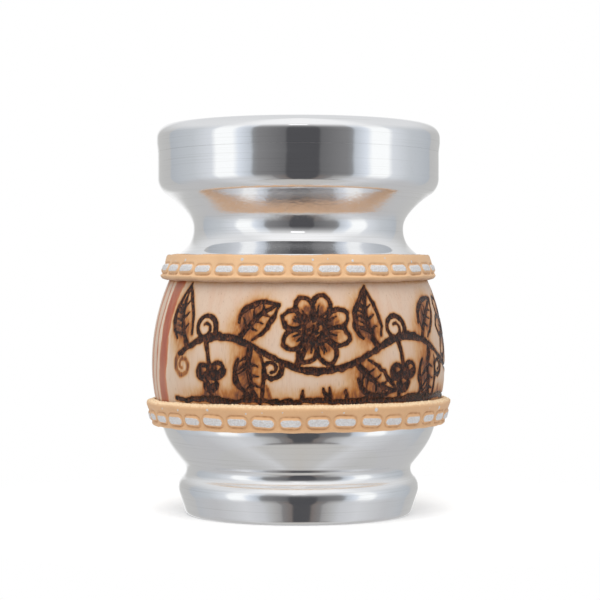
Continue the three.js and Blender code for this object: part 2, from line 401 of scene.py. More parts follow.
@dataclass
class Revolver:
    """Turns an outline into a skin, ring by ring.

    Attributes:
        path: Points of the outline, counter-clockwise.
        closed: Whether the last ring joins the first.
        counts: Vertices in each ring; 1 on the axis.
        offset: Gives how far the skin stands out at a ring's places, from its point and angles.
        map_rows: Rows of the bake map, each of which holds a part of the way round.
    """

    path: np.ndarray
    closed: bool
    counts: np.ndarray
    offset: Callable[[np.ndarray, np.ndarray], np.ndarray]
    map_rows: int = 2

    def build(self) -> Skin:
        """Makes the skin.

        Returns:
            The skin, with outward faces.
        """
        skin = Skin()
        normals = normals_of(self.path, self.closed)
        for point, normal, count in zip(self.path, normals, self.counts):
            angle = np.arange(count) * TURN / count
            out = self.offset(point, angle) if count > 1 else np.zeros(1)
            radius = point[0] + normal[0] * out if count > 1 else np.zeros(1)
            height = point[1] + normal[1] * out
            places = [radius * np.sin(angle), -radius * np.cos(angle), height]
            skin.vertices.append(np.stack(places, axis=1))
        starts = np.concatenate([[0], np.cumsum(self.counts)[:-1]])
        gaps = np.hypot(*np.diff(np.vstack([self.path, self.path[:1]]), axis=0).T)
        shares = np.concatenate([[0], np.cumsum(gaps[: len(self.path) - (not self.closed)])])
        shares /= shares[-1]
        for ring in range(len(self.path) - (not self.closed)):
            pair = [ring, (ring + 1) % len(self.path)]
            self._bridge(skin, starts[pair], self.counts[pair], shares[[ring, ring + 1]])
        return skin

    def _bridge(self, skin: Skin, starts: np.ndarray, counts: np.ndarray, shares: np.ndarray) -> None:
        """Adds the faces between two rings, of which one may have several times the other's vertices.

        Args:
            skin: The skin to add to.
            starts: First vertex of each ring.
            counts: Vertices of each ring.
            shares: Places of the rings along the outline, 0 to 1.
        """
        steps = int(min(counts)) if min(counts) > 1 else int(max(counts))
        column = np.arange(steps)
        corners: list[np.ndarray] = []
        across: list[np.ndarray] = []
        along: list[np.ndarray] = []
        for start, count, share, onward in zip(starts, counts, shares, (True, False)):
            parts = count // steps
            if count == 1:
                corners.append(np.full(steps, start))
                across.append(column + 0.5)
                along.append(np.full(steps, share))
                continue
            for part in range(parts + 1) if onward else range(parts, -1, -1):
                corners.append(start + (column * parts + part) % count)
                across.append(column + part / parts)
                along.append(np.full(steps, share))
        row = column * self.map_rows // steps
        right = np.stack(across, axis=1) * self.map_rows / steps - row[:, None]
        upward = (row[:, None] + np.stack(along, axis=1)) / self.map_rows
        skin.add_faces(np.stack(corners, axis=1), np.stack([right, upward], axis=2))


class Nodes:
    """A node tree with short ways to add nodes and links."""

    def __init__(self, tree: bpy.types.NodeTree) -> None:
        """Takes the tree to fill."""
        self.tree = tree

    def add(self, kind: str, inputs: Optional[dict[Any, Value]] = None, **settings: Any) -> bpy.types.Node:
        """Adds a node.

        Args:
            kind: The node's type, without the ShaderNode in front.
            inputs: Values or sockets for its inputs, by name or number.
            **settings: The node's own settings.

        Returns:
            The node.
        """
        node = self.tree.nodes.new("ShaderNode" + kind)
        for label, setting in settings.items():
            setattr(node, label, setting)
        for key, value in (inputs or {}).items():
            self.give(node.inputs[key], value)
        return node

    def give(self, target: Socket, value: Value) -> None:
        """Links an input to a socket, or sets it to a plain value.

        Args:
            target: The input.
            value: The socket or the value.
        """
        if isinstance(value, bpy.types.NodeSocket):
            self.tree.links.new(value, target)
        else:
            target.default_value = value

    def math(self, operation: str, first: Value, second: Value = 0.0) -> Socket:
        """Adds a Math node and gives its output."""
        return self.add("Math", {0: first, 1: second}, operation=operation).outputs[0]

    def plus(self, first: Value, second: Value) -> Socket:
        """Adds two numbers."""
        return self.math("ADD", first, second)

    def minus(self, first: Value, second: Value) -> Socket:
        """Takes the second number from the first."""
        return self.math("SUBTRACT", first, second)

    def times(self, first: Value, second: Value) -> Socket:
        """Multiplies two numbers."""
        return self.math("MULTIPLY", first, second)

    def scale(self, value: Value, factor: float, start: float) -> Socket:
        """Adds a Math node that multiplies a number and adds another."""
        return self.add("Math", {0: value, 1: factor, 2: start}, operation="MULTIPLY_ADD").outputs[0]

    def length(self, east: Socket, north: Socket) -> Socket:
        """Gives the length of a line from how far it runs each way."""
        squares = self.plus(self.times(east, east), self.times(north, north))
        return self.math("SQRT", squares)

    def fade(self, value: Value, low: float, high: float, start: Value = 0.0, end: Value = 1.0) -> Socket:
        """Adds a Map Range node that eases from one number to another.

        Args:
            value: What is mapped.
            low: Value at which the result is start.
            high: Value at which the result is end.
            start: First result.
            end: Last result.

        Returns:
            The eased number.
        """
        inputs = {0: value, 1: low, 2: high, 3: start, 4: end}
        return self.add("MapRange", inputs, interpolation_type="SMOOTHSTEP").outputs[0]

    def mix(self, share: Value, first: Value, second: Value, blend: str = "MIX") -> Socket:
        """Adds a colour Mix node.

        Args:
            share: How much of the second colour shows.
            first: First colour.
            second: Second colour.
            blend: Way of mixing.

        Returns:
            The mixed colour.
        """
        colours = [(*colour, 1.0) if isinstance(colour, tuple) else colour for colour in (first, second)]
        inputs = {0: share, 6: colours[0], 7: colours[1]}
        return self.add("Mix", inputs, data_type="RGBA", blend_type=blend).outputs[2]

    def ramp(self, value: Value, stops: Stops, span: float = 1.0) -> Socket:
        """Adds a Color Ramp.

        Args:
            value: What is looked up, from 0 to span.
            stops: Places from 0 to span, each with its colour.
            span: Value at the end of the ramp.

        Returns:
            The colour.
        """
        node = self.add("ValToRGB", {0: self.math("DIVIDE", value, span)})
        elements = node.color_ramp.elements
        while len(elements) < len(stops):
            elements.new(1.0)
        for element, (place, colour) in zip(elements, stops):
            element.position = place / span
            element.color = (*colour, 1.0)
        return node.outputs[0]

    def place(self, stretch: Sequence[float] = (1.0, 1.0, 1.0)) -> Socket:
        """Gives the place on the object in millimetres.

        Args:
            stretch: Number by which each axis is multiplied.

        Returns:
            The place.
        """
        place = self.add("TexCoord").outputs["Object"]
        factor = tuple(number / MM for number in stretch)
        return self.add("VectorMath", {0: place, 1: factor}, operation="MULTIPLY").outputs[0]

    def noise(
        self, stretch: Sequence[float], detail: float = 3.0, rough: float = 0.5, bend: float = 0.0
    ) -> Socket:
        """Adds noise over the object.

        Args:
            stretch: How many lumps lie on a millimetre along each axis.
            detail: Finer layers of noise.
            rough: Strength of the finer layers.
            bend: How much the noise is distorted.

        Returns:
            A number about 0.5.
        """
        inputs = {
            "Vector": self.place(stretch),
            "Scale": 1.0,
            "Detail": detail,
            "Roughness": rough,
            "Distortion": bend,
        }
        return self.add("TexNoise", inputs).outputs[0]

    def attribute(self, name: str) -> Socket:
        """Gives a named number of the mesh."""
        return self.add("Attribute", attribute_name=name).outputs["Fac"]

    def group(self, shared: bpy.types.NodeTree, **inputs: Value) -> bpy.types.Node:
        """Places a shared group, with its own values."""
        return self.add("Group", inputs, node_tree=shared)


def new_group(
    name: str, inputs: dict[str, float], outputs: Sequence[str]
) -> tuple[Nodes, bpy.types.Node, bpy.types.Node]:
    """Starts a shared node group.

    Args:
        name: Name of the group.
        inputs: Number inputs with their usual values.
        outputs: Number outputs.

    Returns:
        The group's nodes, its input node and its output node.
    """
    tree = bpy.data.node_groups.new(name, "ShaderNodeTree")
    for label, usual in inputs.items():
        socket = tree.interface.new_socket(label, in_out="INPUT", socket_type="NodeSocketFloat")
        socket.default_value = usual
    for label in outputs:
        tree.interface.new_socket(label, in_out="OUTPUT", socket_type="NodeSocketFloat")
    return Nodes(tree), tree.nodes.new("NodeGroupInput"), tree.nodes.new("NodeGroupOutput")


class SharedEffects:
    """Node groups that several finishes use."""

    def __init__(self) -> None:
        """Builds each group once."""
        self.handling = self._handling()
        self.turning = self._turning()
        self.fibres = self._fibres()
        self.hide = self._hide()

    @staticmethod
    def _handling() -> bpy.types.NodeTree:
        """Soft smears and small specks left by hands.

        Returns:
            A group that puts out Smear and Speck, from 0 to 1.
        """
        usual = {"Amount": 0.5, "Specks": 0.3}
        nodes, given, result = new_group("handling_marks", usual, ["Smear", "Speck"])
        broad = nodes.noise((0.07, 0.07, 0.11), detail=4.0, rough=0.6, bend=0.8)
        smear = nodes.times(nodes.fade(broad, 0.42, 0.68), given.outputs["Amount"])
        fine = nodes.noise((1.7, 1.7, 1.7), detail=2.0)
        speck = nodes.times(nodes.fade(fine, 0.68, 0.76), given.outputs["Specks"])
        nodes.tree.links.new(smear, result.inputs["Smear"])
        nodes.tree.links.new(speck, result.inputs["Speck"])
        return nodes.tree

    @staticmethod
    def _turning() -> bpy.types.NodeTree:
        """Lines that the spinning tool and the polishing cloth leave round the cup.

        Returns:
            A group that puts out Height, in millimetres, and Line, from 0 to 1.
        """
        usual = {"Depth": 0.002, "Scratch": 0.4}
        nodes, given, result = new_group("turning_lines", usual, ["Height", "Line"])
        tool = nodes.noise((0.006, 0.006, 0.9), rough=0.65)
        cloth = nodes.noise((0.02, 0.02, 4.5), detail=2.0, rough=0.6)
        height = nodes.times(nodes.minus(tool, 0.5), given.outputs["Depth"])
        line = nodes.times(nodes.fade(cloth, 0.55, 0.72), given.outputs["Scratch"])
        nodes.tree.links.new(height, result.inputs["Height"])
        nodes.tree.links.new(line, result.inputs["Line"])
        return nodes.tree

    @staticmethod
    def _fibres() -> bpy.types.NodeTree:
        """Fine threads of wood or cut leather.

        Returns:
            A group that puts out Thread, a number about 0.5.
        """
        nodes, given, result = new_group("fine_fibres", {"Contrast": 1.0}, ["Thread"])
        thread = nodes.noise((2.6, 2.6, 0.09), rough=0.6, bend=0.25)
        swing = nodes.times(nodes.minus(thread, 0.5), given.outputs["Contrast"])
        nodes.tree.links.new(nodes.plus(swing, 0.5), result.inputs["Thread"])
        return nodes.tree

    @staticmethod
    def _hide() -> bpy.types.NodeTree:
        """Pebbled grain of leather.

        Returns:
            A group that puts out Height, in millimetres, and Pore, from 0 to 1.
        """
        usual = {"Depth": 0.02, "Fineness": 2.4}
        nodes, given, result = new_group("hide_grain", usual, ["Height", "Pore"])
        inputs = {"Vector": nodes.place(), "Scale": given.outputs["Fineness"]}
        cells = nodes.add("TexVoronoi", inputs, feature="DISTANCE_TO_EDGE").outputs[0]
        pebble = nodes.fade(cells, 0.0, 0.28)
        soft = nodes.noise((0.9, 0.9, 0.9), detail=4.0, rough=0.6)
        height = nodes.plus(nodes.times(pebble, 0.5), soft)
        height = nodes.times(height, given.outputs["Depth"])
        nodes.tree.links.new(height, result.inputs["Height"])
        nodes.tree.links.new(nodes.fade(cells, 0.09, 0.0), result.inputs["Pore"])
        return nodes.tree


@dataclass(frozen=True)
class Finish:
    """A material in the making.

    Attributes:
        name: Name of the material.
    """

    name: str

    def make(self, shared: SharedEffects) -> bpy.types.Material:
        """Makes the material.

        Args:
            shared: Node groups.

        Returns:
            The material.
        """
        material = bpy.data.materials.new(self.name)
        material.use_nodes = True
        nodes = Nodes(material.node_tree)
        shader = material.node_tree.nodes["Principled BSDF"]
        for label, value in self.surface(nodes, shared).items():
            nodes.give(shader.inputs[label], value)
        return material

    def surface(self, nodes: Nodes, shared: SharedEffects) -> dict[str, Value]:
        """Works out what the material's shader is given, by the names of its inputs."""
        raise NotImplementedError

    @staticmethod
    def bump(nodes: Nodes, height: Socket) -> Socket:
        """Turns a height in millimetres into a normal."""
        return nodes.add("Bump", {"Strength": 1.0, "Distance": MM, "Height": height}).outputs[0]


@dataclass(frozen=True)
class SpunAluminium(Finish):
    """Polished sheet metal spun on a lathe.

    Attributes:
        gloss: Roughness where the polish is best.
        smear_haze: How much duller a smear is.
        line_depth: Depth of the turning lines.
        line_haze: How much duller the polishing cloth's lines are.
        peel: Depth of the uneven skin where the metal was stretched.
        peel_haze: How much duller that skin is.
        peel_heights: Heights between which that skin lies.
        peel_fade: How far from those heights the skin is at its full depth.
        pit_depth: Depth of the pits in that skin, as a share of its own.
        bright: Colour of the polished metal.
        dull: Colour of its lines and specks.
    """

    gloss: float = 0.07
    smear_haze: float = 0.05
    line_depth: float = 0.002
    line_haze: float = 0.05
    peel: float = 0.0
    peel_haze: float = 0.07
    peel_heights: tuple[float, float] = (0.0, 1.0)
    peel_fade: float = 3.0
    pit_depth: float = 0.35
    bright: Colour = linear(243, 243, 244)
    dull: Colour = linear(226, 225, 224)

    def surface(self, nodes: Nodes, shared: SharedEffects) -> dict[str, Value]:
        """Works out what the shader is given.

        Args:
            nodes: The material's nodes.
            shared: Node groups.

        Returns:
            Values or sockets, by the names of the shader's inputs.
        """
        turning = nodes.group(shared.turning, Depth=self.line_depth, Scratch=0.5)
        marks = nodes.group(shared.handling, Amount=0.5, Specks=0.5)
        line, height = turning.outputs["Line"], turning.outputs["Height"]
        worn = nodes.math("MAXIMUM", line, marks.outputs["Speck"])
        rough = nodes.scale(marks.outputs["Smear"], self.smear_haze, self.gloss)
        rough = nodes.plus(rough, nodes.times(line, self.line_haze))
        if self.peel:
            stretched, skin = self._stretched(nodes)
            rough = nodes.plus(rough, nodes.times(stretched, self.peel_haze))
            height = nodes.plus(height, skin)
        return {
            "Base Color": nodes.mix(worn, self.bright, self.dull),
            "Metallic": 1.0,
            "Roughness": rough,
            "Normal": self.bump(nodes, height),
            "Anisotropic": 0.55,
            "Anisotropic Rotation": 0.25,
            "Tangent": nodes.add("Tangent", direction_type="RADIAL", axis="Z").outputs[0],
        }

    def _stretched(self, nodes: Nodes) -> tuple[Socket, Socket]:
        """Finds where the metal was stretched, and the uneven skin that this left.

        Args:
            nodes: The material's nodes.

        Returns:
            How much each place was stretched, 0 to 1, and the height of its skin in millimetres.
        """
        level = nodes.add("SeparateXYZ", {0: nodes.place()}).outputs["Z"]
        low, high = self.peel_heights
        from_low = nodes.fade(level, low, low + self.peel_fade)
        from_high = nodes.fade(level, high, high - self.peel_fade)
        stretched = nodes.times(from_low, from_high)
        lumps = nodes.minus(nodes.noise((0.85, 0.85, 1.3), rough=0.55), 0.5)
        pits = nodes.fade(nodes.noise((1.9, 1.9, 1.9), detail=1.0), 0.66, 0.74)
        skin = nodes.minus(lumps, nodes.times(pits, self.pit_depth))
        return stretched, nodes.times(skin, nodes.times(stretched, self.peel))


@dataclass(frozen=True)
class BurnedWood(Finish):
    """Pale lacquered wood with a darker heart and burned drawing.

    Attributes:
        pith: Place of the tree's middle, seen from above, round which the rings lie.
        lean: How far the pith moves back for each millimetre of height.
        heart: Distance from the pith at which the dark heart ends.
        wander: How far the rings swing in broad waves.
        shiver: How far they swing in short waves.
        fray: How far they swing with the threads.
        gloss: Roughness of the clean lacquer.
        smear_haze: How much duller a smear is.
        coat: Weight of the lacquer.
        thread_height: Height of the wood's threads.
        char_ragged: How uneven the edge of a charred line is.
        char_gloss: How much smoother a charred line is.
        char_bare: How much of the lacquer a charred line has lost.
        char_crust: Height of the crust in a charred line.
    """

    pith: tuple[float, float] = (-52.0, 36.0)
    lean: float = -0.05
    heart: float = 57.2
    wander: float = 3.2
    shiver: float = 1.5
    fray: float = 0.5
    gloss: float = 0.42
    smear_haze: float = 0.12
    coat: float = 0.15
    thread_height: float = 0.012
    char_ragged: float = 0.36
    char_gloss: float = 0.2
    char_bare: float = 0.1
    char_crust: float = 0.5

    def surface(self, nodes: Nodes, shared: SharedEffects) -> dict[str, Value]:
        """Works out what the shader is given.

        Args:
            nodes: The material's nodes.
            shared: Node groups.

        Returns:
            Values or sockets, by the names of the shader's inputs.
        """
        thread = nodes.group(shared.fibres, Contrast=1.3).outputs["Thread"]
        marks = nodes.group(shared.handling, Amount=0.5, Specks=0.4)
        wood = self._toasted(nodes, self._timber(nodes, thread))
        uneven = nodes.minus(nodes.noise((2.2, 2.2, 1.4), detail=2.0), 0.5)
        uneven = nodes.times(uneven, self.char_ragged)
        charred = nodes.fade(nodes.plus(nodes.attribute("burn"), uneven), -0.06, 0.08)
        crust = nodes.noise((1.5, 1.5, 0.8), detail=4.0, rough=0.65)
        coal = [
            (0.30, linear(18, 9, 6)),
            (0.47, linear(40, 19, 11)),
            (0.58, linear(82, 40, 18)),
            (0.72, linear(128, 74, 38)),
        ]
        rough = nodes.scale(marks.outputs["Smear"], self.smear_haze, self.gloss)
        rough = nodes.minus(rough, nodes.times(charred, self.char_gloss))
        grain = nodes.times(thread, self.thread_height)
        blister = nodes.times(nodes.times(crust, charred), self.char_crust)
        return {
            "Base Color": nodes.mix(charred, wood, nodes.ramp(crust, coal)),
            "Roughness": rough,
            "Normal": self.bump(nodes, nodes.plus(grain, blister)),
            "Specular IOR Level": 0.36,
            "Coat Weight": nodes.scale(charred, -self.char_bare, self.coat),
            "Coat Roughness": 0.2,
        }

    @staticmethod
    def _toasted(nodes: Nodes, wood: Socket) -> Socket:
        """Browns the wood beside the burned lines, and darkens it where shade is painted just under the
        upper band.

        Args:
            nodes: The material's nodes.
            wood: Colour of the bare wood.

        Returns:
            The browned colour.
        """
        streak = nodes.noise((1.1, 1.1, 0.35), rough=0.6)
        streak = nodes.fade(streak, 0.2, 0.75, 0.6, 1.3)
        # This number holds both the heat's browning and the shade painted just under the upper band.
        heat = nodes.times(nodes.attribute("brown_and_shade"), streak)
        toast = [
            (0.0, (1.0, 1.0, 1.0)),
            (0.22, (0.90, 0.72, 0.48)),
            (0.5, (0.63, 0.31, 0.08)),
            (0.75, (0.34, 0.14, 0.05)),
            (1.0, (0.14, 0.06, 0.03)),
        ]
        return nodes.mix(1.0, wood, nodes.ramp(heat, toast), "MULTIPLY")

    def _timber(self, nodes: Nodes, thread: Socket) -> Socket:
        """Colours bare wood: rings round the pith, threads and small pores.

        Args:
            nodes: The material's nodes.
            thread: Fine threads.

        Returns:
            The colour.
        """
        place = nodes.add("SeparateXYZ", {0: nodes.place()})
        lean = nodes.times(place.outputs["Z"], self.lean)
        east = nodes.minus(place.outputs["X"], self.pith[0])
        north = nodes.minus(place.outputs["Y"], self.pith[1])
        north = nodes.minus(north, lean)
        depth = nodes.minus(self.heart, nodes.length(east, north))
        waves = [
            (nodes.noise((0.10, 0.10, 0.05), rough=0.55), self.wander),
            (nodes.noise((0.45, 0.45, 0.2), rough=0.6), self.shiver),
            (thread, self.fray),
        ]
        for wave, size in waves:
            swing = nodes.times(nodes.minus(wave, 0.5), size)
            depth = nodes.plus(depth, swing)
        outside, span = 10.0, 30.0
        colour = nodes.ramp(nodes.plus(depth, outside), self._rings(), span)
        faded = nodes.noise((0.3, 0.3, 0.07), rough=0.6)
        blotch = nodes.noise((0.05, 0.05, 0.03))
        pore = nodes.noise((3.4, 3.4, 0.22), detail=1.0)
        colour = nodes.mix(nodes.fade(faded, 0.42, 0.7, 0.0, 0.2), colour, linear(206, 150, 112))
        colour = nodes.mix(nodes.fade(blotch, 0.35, 0.7, 0.0, 0.16), colour, linear(228, 202, 174))
        colour = nodes.mix(nodes.fade(thread, 0.5, 0.85, 0.0, 0.3), colour, linear(180, 144, 116))
        return nodes.mix(nodes.fade(pore, 0.70, 0.80, 0.0, 0.5), colour, linear(136, 92, 62))

    @staticmethod
    def _rings() -> Stops:
        """Lists the wood's colours from the sapwood in to the pith.

        Returns:
            Depths in millimetres, from 10 outside the dark heart, each with its colour.
        """
        pale = linear(218, 194, 172)
        rose = linear(213, 187, 166)
        cream = linear(224, 203, 182)
        amber = linear(202, 122, 66)
        heart = linear(162, 64, 34)
        rust = linear(176, 80, 44)
        core = linear(200, 172, 150)
        return [
            (0.0, rose),
            (8.5, pale),
            (10.0, cream),
            (10.35, amber),
            (10.9, rust),
            (12.2, heart),
            (14.2, heart),
            (14.9, rust),
            (15.2, amber),
            (15.5, cream),
            (17.2, cream),
            (17.5, amber),
            (18.0, rust),
            (18.6, rose),
            (21.5, pale),
            (22.2, amber),
            (23.4, rust),
            (24.4, pale),
            (30.0, core),
        ]


@dataclass(frozen=True)
class TannedLeather(Finish):
    """Tan leather with paint on the crowns of its embossed stitches.

    Attributes:
        face: Colour of the grain side.
        edge: Colour of the cut edge.
        edge_shade: How much of each light that colour keeps in the shade of the edge's threads.
        handled: Colour of a smear, and how much of it shows.
        pore: Colour of the pores, and how much of it shows.
        groove_tint: Colour of the pressed grooves, partly their own browning and partly painted shade, and
            how much of it shows.
        chalk: Colours of the paint, thin and thick.
        paint_ragged: How uneven the edge of the paint is.
        paint_height: Height of the paint's crumbs.
        thread_height: Height of the cut edge's threads.
        roughness: Roughness of clean leather and of a smear.
    """

    face: Colour = linear(222, 178, 134)
    edge: Colour = linear(247, 220, 182)
    edge_shade: Colour = (0.85, 0.72, 0.6)
    handled: tuple[Colour, float] = (linear(206, 160, 116), 0.4)
    pore: tuple[Colour, float] = (linear(184, 132, 84), 0.12)
    groove_tint: tuple[Colour, float] = (linear(178, 114, 58), 0.62)
    chalk: tuple[Colour, Colour] = (linear(198, 195, 194), linear(222, 223, 225))
    paint_ragged: float = 0.5
    paint_height: float = 0.09
    thread_height: float = 0.035
    roughness: tuple[float, float] = (0.66, 0.54)

    def surface(self, nodes: Nodes, shared: SharedEffects) -> dict[str, Value]:
        """Works out what the shader is given.

        Args:
            nodes: The material's nodes.
            shared: Node groups.

        Returns:
            Values or sockets, by the names of the shader's inputs.
        """
        grain = nodes.group(shared.hide, Depth=0.03, Fineness=2.6)
        smear = nodes.group(shared.handling, Amount=0.8, Specks=0.3).outputs["Smear"]
        thread = nodes.group(shared.fibres, Contrast=1.6).outputs["Thread"]
        groove_brown_and_shade, cut, paint = (nodes.attribute(name) for name in ("groove_brown_and_shade", "cut", "paint"))
        shade = tuple(level * kept for level, kept in zip(self.edge, self.edge_shade))
        cut_edge = nodes.mix(nodes.fade(thread, 0.4, 0.8), self.edge, shade)
        colour = self._tint(nodes, self.face, smear, self.handled)
        colour = self._tint(nodes, colour, grain.outputs["Pore"], self.pore)
        colour = nodes.mix(cut, colour, cut_edge)
        # Grooves: the pressing's own browning plus painted shade.
        colour = self._tint(nodes, colour, groove_brown_and_shade, self.groove_tint)
        crumbs = nodes.noise((2.6, 2.6, 2.6), rough=0.6)
        flakes = nodes.noise((3.0, 3.0, 3.0), detail=2.0)
        uneven = nodes.times(nodes.minus(crumbs, 0.5), self.paint_ragged)
        painted = nodes.fade(nodes.plus(paint, uneven), -0.06, 0.10)
        painted = nodes.times(painted, nodes.fade(crumbs, 0.25, 0.45, 0.6, 1.0))
        colour = nodes.mix(painted, colour, nodes.mix(nodes.fade(flakes, 0.35, 0.7), *self.chalk))
        frayed = nodes.times(nodes.times(thread, cut), self.thread_height)
        crusted = nodes.times(nodes.times(flakes, painted), self.paint_height)
        height = nodes.plus(grain.outputs["Height"], nodes.plus(frayed, crusted))
        return {
            "Base Color": colour,
            "Roughness": nodes.fade(smear, 0.0, 1.0, *self.roughness),
            "Normal": self.bump(nodes, height),
            "Sheen Weight": 0.08,
            "Sheen Roughness": 0.5,
        }

    @staticmethod
    def _tint(nodes: Nodes, colour: Value, where: Socket, tint: tuple[Colour, float]) -> Socket:
        """Mixes a part of another colour in where a number is high."""
        return nodes.mix(nodes.times(where, tint[1]), colour, tint[0])


@dataclass(frozen=True)
class Stroke:
    """One pass of the burning tool over the unrolled belly.

    Attributes:
        points: (arc, height) places along the line.
        widths: Width of the line at each place.
        heat: How dark and deep the line is, 0 to 1.
    """

    points: np.ndarray
    widths: np.ndarray
    heat: float = 1.0


@dataclass(frozen=True)
class Stain:
    """A patch that the heat browned without a line.

    Attributes:
        centre: (arc, height) of its middle.
        reach: Half its length and half its height.
        turn: Angle by which it leans.
        heat: How brown it is, 0 to 1.
    """

    centre: np.ndarray
    reach: tuple[float, float]
    turn: float
    heat: float


def _heading(angle: float) -> np.ndarray:
    """Gives the unit vector along an angle."""
    return np.array([math.cos(angle), math.sin(angle)])


def _circle(centre: np.ndarray, radius: float, angles: np.ndarray) -> np.ndarray:
    """Gives the places on a circle at some angles."""
    return centre + radius * np.stack([np.cos(angles), np.sin(angles)], axis=1)


@dataclass
class BurnedFrieze:
    """Large flowers, leaves and berries on a running stem over a ground line, with a stretch left bare.

    Attributes:
        round_length: Length of the belly's girth.
        floor: Height of the ground line.
        middle: Height about which the stem swings.
        swing: How far the stem swings up and down.
        repeats: Waves of the stem.
        start: Arc at which the first wave starts.
        bare: Arc that is left bare between the frieze's ends.
        seed: Start of the random draws.
        glow: How far beside a line the heat browns the wood.
        strokes: Burned lines.
        stains: Browned patches.
        hand: Random draws of the drawing hand.
        wave: Length of one wave of the stem.
    """

    round_length: float
    floor: float = 34.2
    middle: float = 46.4
    swing: float = 4.6
    repeats: int = 4
    start: float = -36.5
    bare: float = 37.0
    seed: int = 12
    glow: float = 0.28
    strokes: list[Stroke] = field(default_factory=list)
    stains: list[Stain] = field(default_factory=list)
    hand: np.random.Generator = field(init=False)
    wave: float = field(init=False)

    def draw(self) -> None:
        """Draws the whole frieze."""
        self.hand = np.random.default_rng(self.seed)
        self.wave = (self.round_length - self.bare) / self.repeats
        for repeat in range(self.repeats):
            self._repeat(self.start + repeat * self.wave)
        self._tendril(self._stem(self.start), -2.6, 3.4, 1.0)
        self._tendril(self._stem(self.start + self.repeats * self.wave), 0.5, 3.6, 1.0)
        self._ground()

    def _stem(self, arc: np.ndarray) -> np.ndarray:
        """Gives the stem's places at some arcs."""
        angle = (np.asarray(arc) - self.start) * TURN / self.wave
        return np.stack([np.asarray(arc, float), self.middle + self.swing * np.sin(angle)], axis=-1)

    def _line(
        self, points: np.ndarray, widths: Sequence[float], heat: float = 1.0, shake: float = 0.14
    ) -> None:
        """Burns a line by hand.

        Args:
            points: Places along the line.
            widths: Widths spread evenly along it.
            heat: How dark and deep it is.
            shake: How unsteady the hand is.
        """
        points = np.asarray(points, float)
        places = np.linspace(0, 1, len(points))
        spread = np.interp(places, np.linspace(0, 1, len(widths)), widths)
        spread = spread * self.hand.uniform(0.8, 1.2, len(points))
        self.strokes.append(Stroke(points + self.hand.normal(0, shake, points.shape), spread, heat))

    def _repeat(self, start: float) -> None:
        """Draws one wave of the stem with what grows on it.

        Args:
            start: Arc at which the wave starts.
        """
        wave = self.wave
        arcs = np.linspace(start - 0.6, start + wave, 44)
        self._line(self._stem(arcs), [1.4, 2.3, 1.2, 2.0, 1.5])
        leaves = [(0.05, 1.15, 17.5), (0.36, 1.0, 15.5), (0.42, -0.9, 16.5), (0.93, -0.85, 15.0)]
        for share, lean, length in leaves:
            arc = start + share * wave
            base = self._stem(arc)
            ahead = self._stem(arc + 0.5) - base
            angle = math.atan2(ahead[1], ahead[0]) + lean + self.hand.normal(0, 0.1)
            self._leaf(base, angle, length * self.hand.uniform(0.92, 1.08), lean)
        flower = self._stem(start + 0.72 * wave) + [0.6, 11.3]
        self._line(np.linspace(self._stem(start + 0.64 * wave), flower, 6), [1.7, 1.3])
        self._flower(flower, 9.8 * self.hand.uniform(0.95, 1.05), 8)
        self._tendril(self._stem(start + 0.22 * wave), 1.2, 3.9, 1.0)
        self._tendril(self._stem(start + 0.56 * wave), -1.0, 3.0, -1.0)
        berries = self._stem(start + 0.2 * wave) + [0.4, -9.6]
        self._line(np.linspace(self._stem(start + 0.17 * wave), berries + [0, 1.5], 5), [1.5, 1.0])
        for offset in ([-2.6, 0.3], [2.3, 0.9], [-0.1, -2.9]):
            self._berry(berries + offset, 1.9)

    def _leaf(self, base: np.ndarray, angle: float, length: float, side: float) -> None:
        """Draws a pointed leaf with one half in brushed strokes.

        Args:
            base: Where it leaves the stem.
            angle: Direction of its rib.
            length: Length of its rib.
            side: Which half is brushed, by its sign.
        """
        along = _heading(angle)
        across = np.array([-along[1], along[0]]) * math.copysign(1, side)
        bow = length * 0.10
        half = length * self.hand.uniform(0.24, 0.29)
        share = np.linspace(0, 1, 13)

        def rib(place: np.ndarray) -> np.ndarray:
            """Gives places on the rib.

            Args:
                place: Shares of the rib's length.

            Returns:
                The (arc, height) places.
            """
            place = np.asarray(place, float)
            bowed = np.multiply.outer(bow * np.sin(place * math.pi), across)
            return base + np.multiply.outer(place * length, along) + bowed

        def rim(place: np.ndarray, way: float) -> np.ndarray:
            """Gives places on the leaf's edge."""
            width = half * np.sin(math.pi * np.asarray(place) ** 0.82) ** 0.9
            return rib(place) + np.multiply.outer(way * width, across)

        inner = share[1:] * 0.88 + 0.12
        self._line(rib(share), [1.7, 1.4, 0.7])
        self._line(rim(inner, 1.0), [0.8, 1.7, 1.3, 0.6])
        self._line(rim(inner, -1.0), [0.6, 1.1, 1.3, 0.6])
        for place in np.arange(0.16, 0.9, 0.95 / length):
            tip = rim(place + 0.1, self.hand.uniform(0.7, 1.06))
            heat = self.hand.uniform(0.1, 0.8)
            self._line(np.linspace(rib(place), tip, 4), [0.95, 0.7, 0.3], heat)
        for place in (0.3, 0.47, 0.64):
            tip = rib(place + 0.06) * 0.35 + rim(place + 0.08, -1.0) * 0.65
            self._line(np.linspace(rib(place), tip, 4), [0.9, 0.45], heat=0.55)
        brushed = rib(0.42) + across * half * 0.45
        self.stains.append(Stain(brushed, (length * 0.42, half * 0.8), angle, 0.66))
        plain = rib(0.3) - across * half * 0.3
        self.stains.append(Stain(plain, (length * 0.33, half * 0.7), angle, 0.5))

